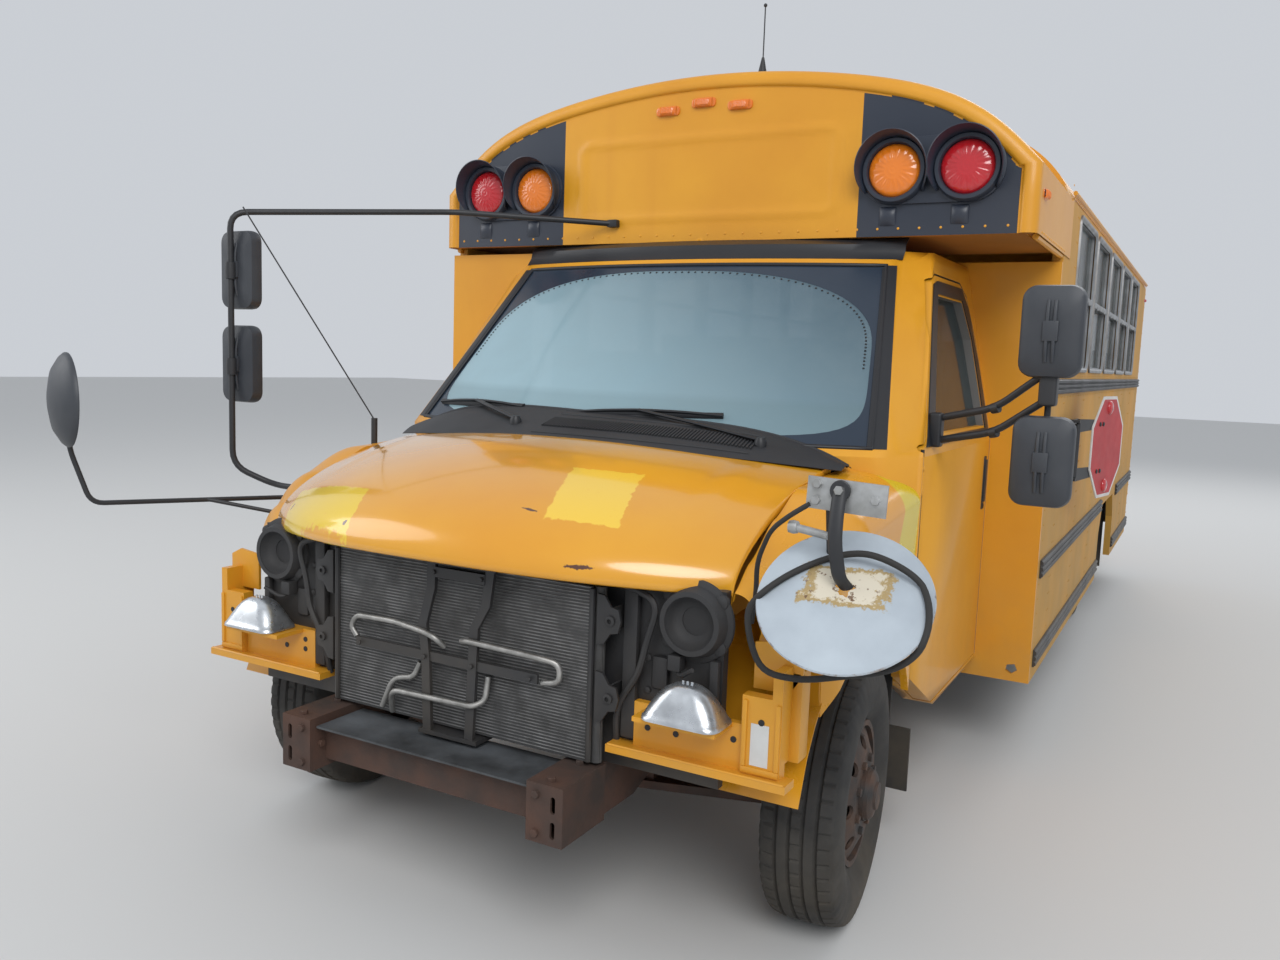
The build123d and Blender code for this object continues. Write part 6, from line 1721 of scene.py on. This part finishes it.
def ring(points, radius, steps=4):
    # A closed section with its corners rounded
    line = []
    for before, corner, after in zip([points[-1]] + points[:-1], points, points[1:] + points[:1]):
        corner = Vector(corner)
        a, b = Vector(before) - corner, Vector(after) - corner
        reach = min(radius, a.length * 0.45, b.length * 0.45)
        a, b = corner + a.normalized() * reach, corner + b.normalized() * reach
        line += [a * (1 - t) ** 2 + corner * 2 * t * (1 - t) + b * t * t
            for t in (k / steps for k in range(steps + 1))]
    return line


bm = bmesh.new()
dashSection = [(0.437, 1.107), (0.437, 1.262), (0.475, 1.293), (0.6, 1.288), (0.643, 1.245), (0.63, 1.155),
    (0.585, 1.107)]
for section, xs in ((dashSection, (-0.883, -0.875, -0.3, 0.3, 0.875, 0.883)),
        ([(0.132, 0.7015), (0.175, 1.085), (0.25, 1.123), (0.62, 1.1225), (0.703, 1.08), (0.703, 0.7015)],
         (-0.363, -0.34, 0, 0.34, 0.363)),
        ([(0.47, 1.285), (0.465, 1.325), (0.5, 1.345), (0.615, 1.345), (0.625, 1.335), (0.6, 1.285)],
         (0.3, 0.315, 0.48, 0.645, 0.66))):
    rows = []
    for n, x in enumerate(xs):
        trim = 0.006 if n in (0, len(xs) - 1) else 0.0
        rows.append([(x, aft(a + (trim if a < 0.5 else -trim)), b) for a, b in ring(section, 0.03)])
    grid(bm, rows, closeColumns=True, ends=True)
column = Vector(lean)
foot = wheelAt.translation - column * 0.0303
pipe(bm, [foot, foot - column * 0.06, foot - column * 0.229], [0.036, 0.044, 0.034], 0.01, 20)
settle("dashMoulding", bm, "cabinGrey", replaces=["dashboard"], angle=40)
bm = bmesh.new()
for x in (-0.78, -0.16, 0.16, 0.78):
    for k in range(5):
        block(bm, at(x - 0.06, 0.632, 1.18 + 0.016 * k), at(x + 0.06, 0.648, 1.187 + 0.016 * k), 0.002, steps=1)
settle("dashVents", bm, "seamBlack", angle=40)
print("cabin made")

# Glass and rubbers of the rear wall, the rear door and the entrance leaves
glassPlan = dict(rubber=0.011, pane=0.005)
paneRows = [("rearPane", "rear_door", (0, rearY, 1.82), (0, 1, 0), 0.68, 0.47),
    ("rearLowPane", "rear_door", (0, rearY, 1.18), (0, 1, 0), 0.68, 0.36),
    ("rearLeftPane", "chassis", (0.83, rearY, 1.82), (0, 1, 0), 0.4, 0.47),
    ("rearRightPane", "chassis", (-0.83, rearY, 1.82), (0, 1, 0), 0.4, 0.47)]
for hand, y in (("Front", 1.1865), ("Rear", 1.5535)):
    for level, low, high in (("Low", 0.56, 1.08), ("High", 1.18, 1.93)):
        paneRows.append((f"leafPane{hand}{level}", f"entrance_leaf_{hand.lower()}",
            (-1.22, aft(y), (low + high) / 2), (-1, 0, 0), 0.251, high - low))
for name, body, spot, facing, wide, high in paneRows:
    place = frameOn(spot, facing)
    if body != "chassis":
        bm = bmesh.new()
        plate(bm, roundCorners(wide, high, 0.045), place @ Matrix.Translation((0, 0, -0.018)), -glassPlan["pane"])
        settle(name, bm, "clearGlass", body)
    bm = bmesh.new()
    line = [place @ Vector((x, y, -0.001)) for x, y in roundCorners(wide + 0.004, high + 0.004, 0.047, 8)]
    rows = []
    for k, p in enumerate(line):
        ahead = (line[(k + 1) % len(line)] - line[k - 1]).normalized()
        out = ahead.cross(Vector(facing))
        rows.append([p + (out * cos(a) + Vector(facing) * 0.45 * sin(a)) * glassPlan["rubber"] for a in around(8)])
    grid(bm, rows, closeRows=True, closeColumns=True)
    settle(name.replace("Pane", "Rubber"), bm, "seamBlack", body, angle=60)

# Emergency door: recessed handle, its lever and the flat hinge straps; leaf edges of the entrance
bm = bmesh.new()
handleAt = frameOn((0.34, rearY, 1.46), (0, 1, 0))
plate(bm, roundCorners(0.13, 0.1, 0.02), handleAt, 0.004, 0.002)
pipe(bm, [handleAt @ Vector(v) for v in ((0.03, 0.0, 0.0), (0.03, 0.0, 0.026), (-0.08, 0.0, 0.026),
    (-0.1, 0.0, 0.018))], 0.009, 0.02, 10, flat=0.6)
settle("rearHandle", bm, "satinBlack", "rear_door", angle=45)
bm = bmesh.new()
for z in (0.95, 1.45, 1.95):
    block(bm, (-0.45, rearY, z - 0.022), (-0.385, rearY + 0.004, z + 0.022), 0.0015, steps=1)
settle("rearStraps", bm, "busYellow", "rear_door", angle=45)
for hand, y, body in (("Front", 1.3672, "entrance_leaf_front"), ("Rear", 1.3728, "entrance_leaf_rear")):
    bm = bmesh.new()
    pipe(bm, [at(-1.2205, y, 0.44), at(-1.2205, y, 1.99)], 0.0024, 0, 8)
    settle(f"leafEdge{hand}", bm, "seamBlack", body, angle=60)

# Rivet lines over the roof bows and round the rear wall
line = capSection(0.0035, 2.31)
places = []
for k in range(7):
    for (ax, az), (bx, bz) in zip(line, line[1:]):
        if bz > 2.31 or az > 2.31:
            places.append((((ax + bx) / 2, aft(1.905 + bodyPlan["bay"] * k), (az + bz) / 2), (az - bz, 0, bx - ax),
                (0, 1, 0)))
for x in (-1.2, -0.49, 1.2, 0.49):
    places += rowOf((x, rearY, 0.7), (x, rearY, 2.2), 0.06, (0, 1, 0))
repeat("bowRivets", rivetShape, [(p, tuple(-c for c in f) if f[2] < 0 else f, l) for p, f, l in places],
    "busYellow")
print("rear and roof details made")
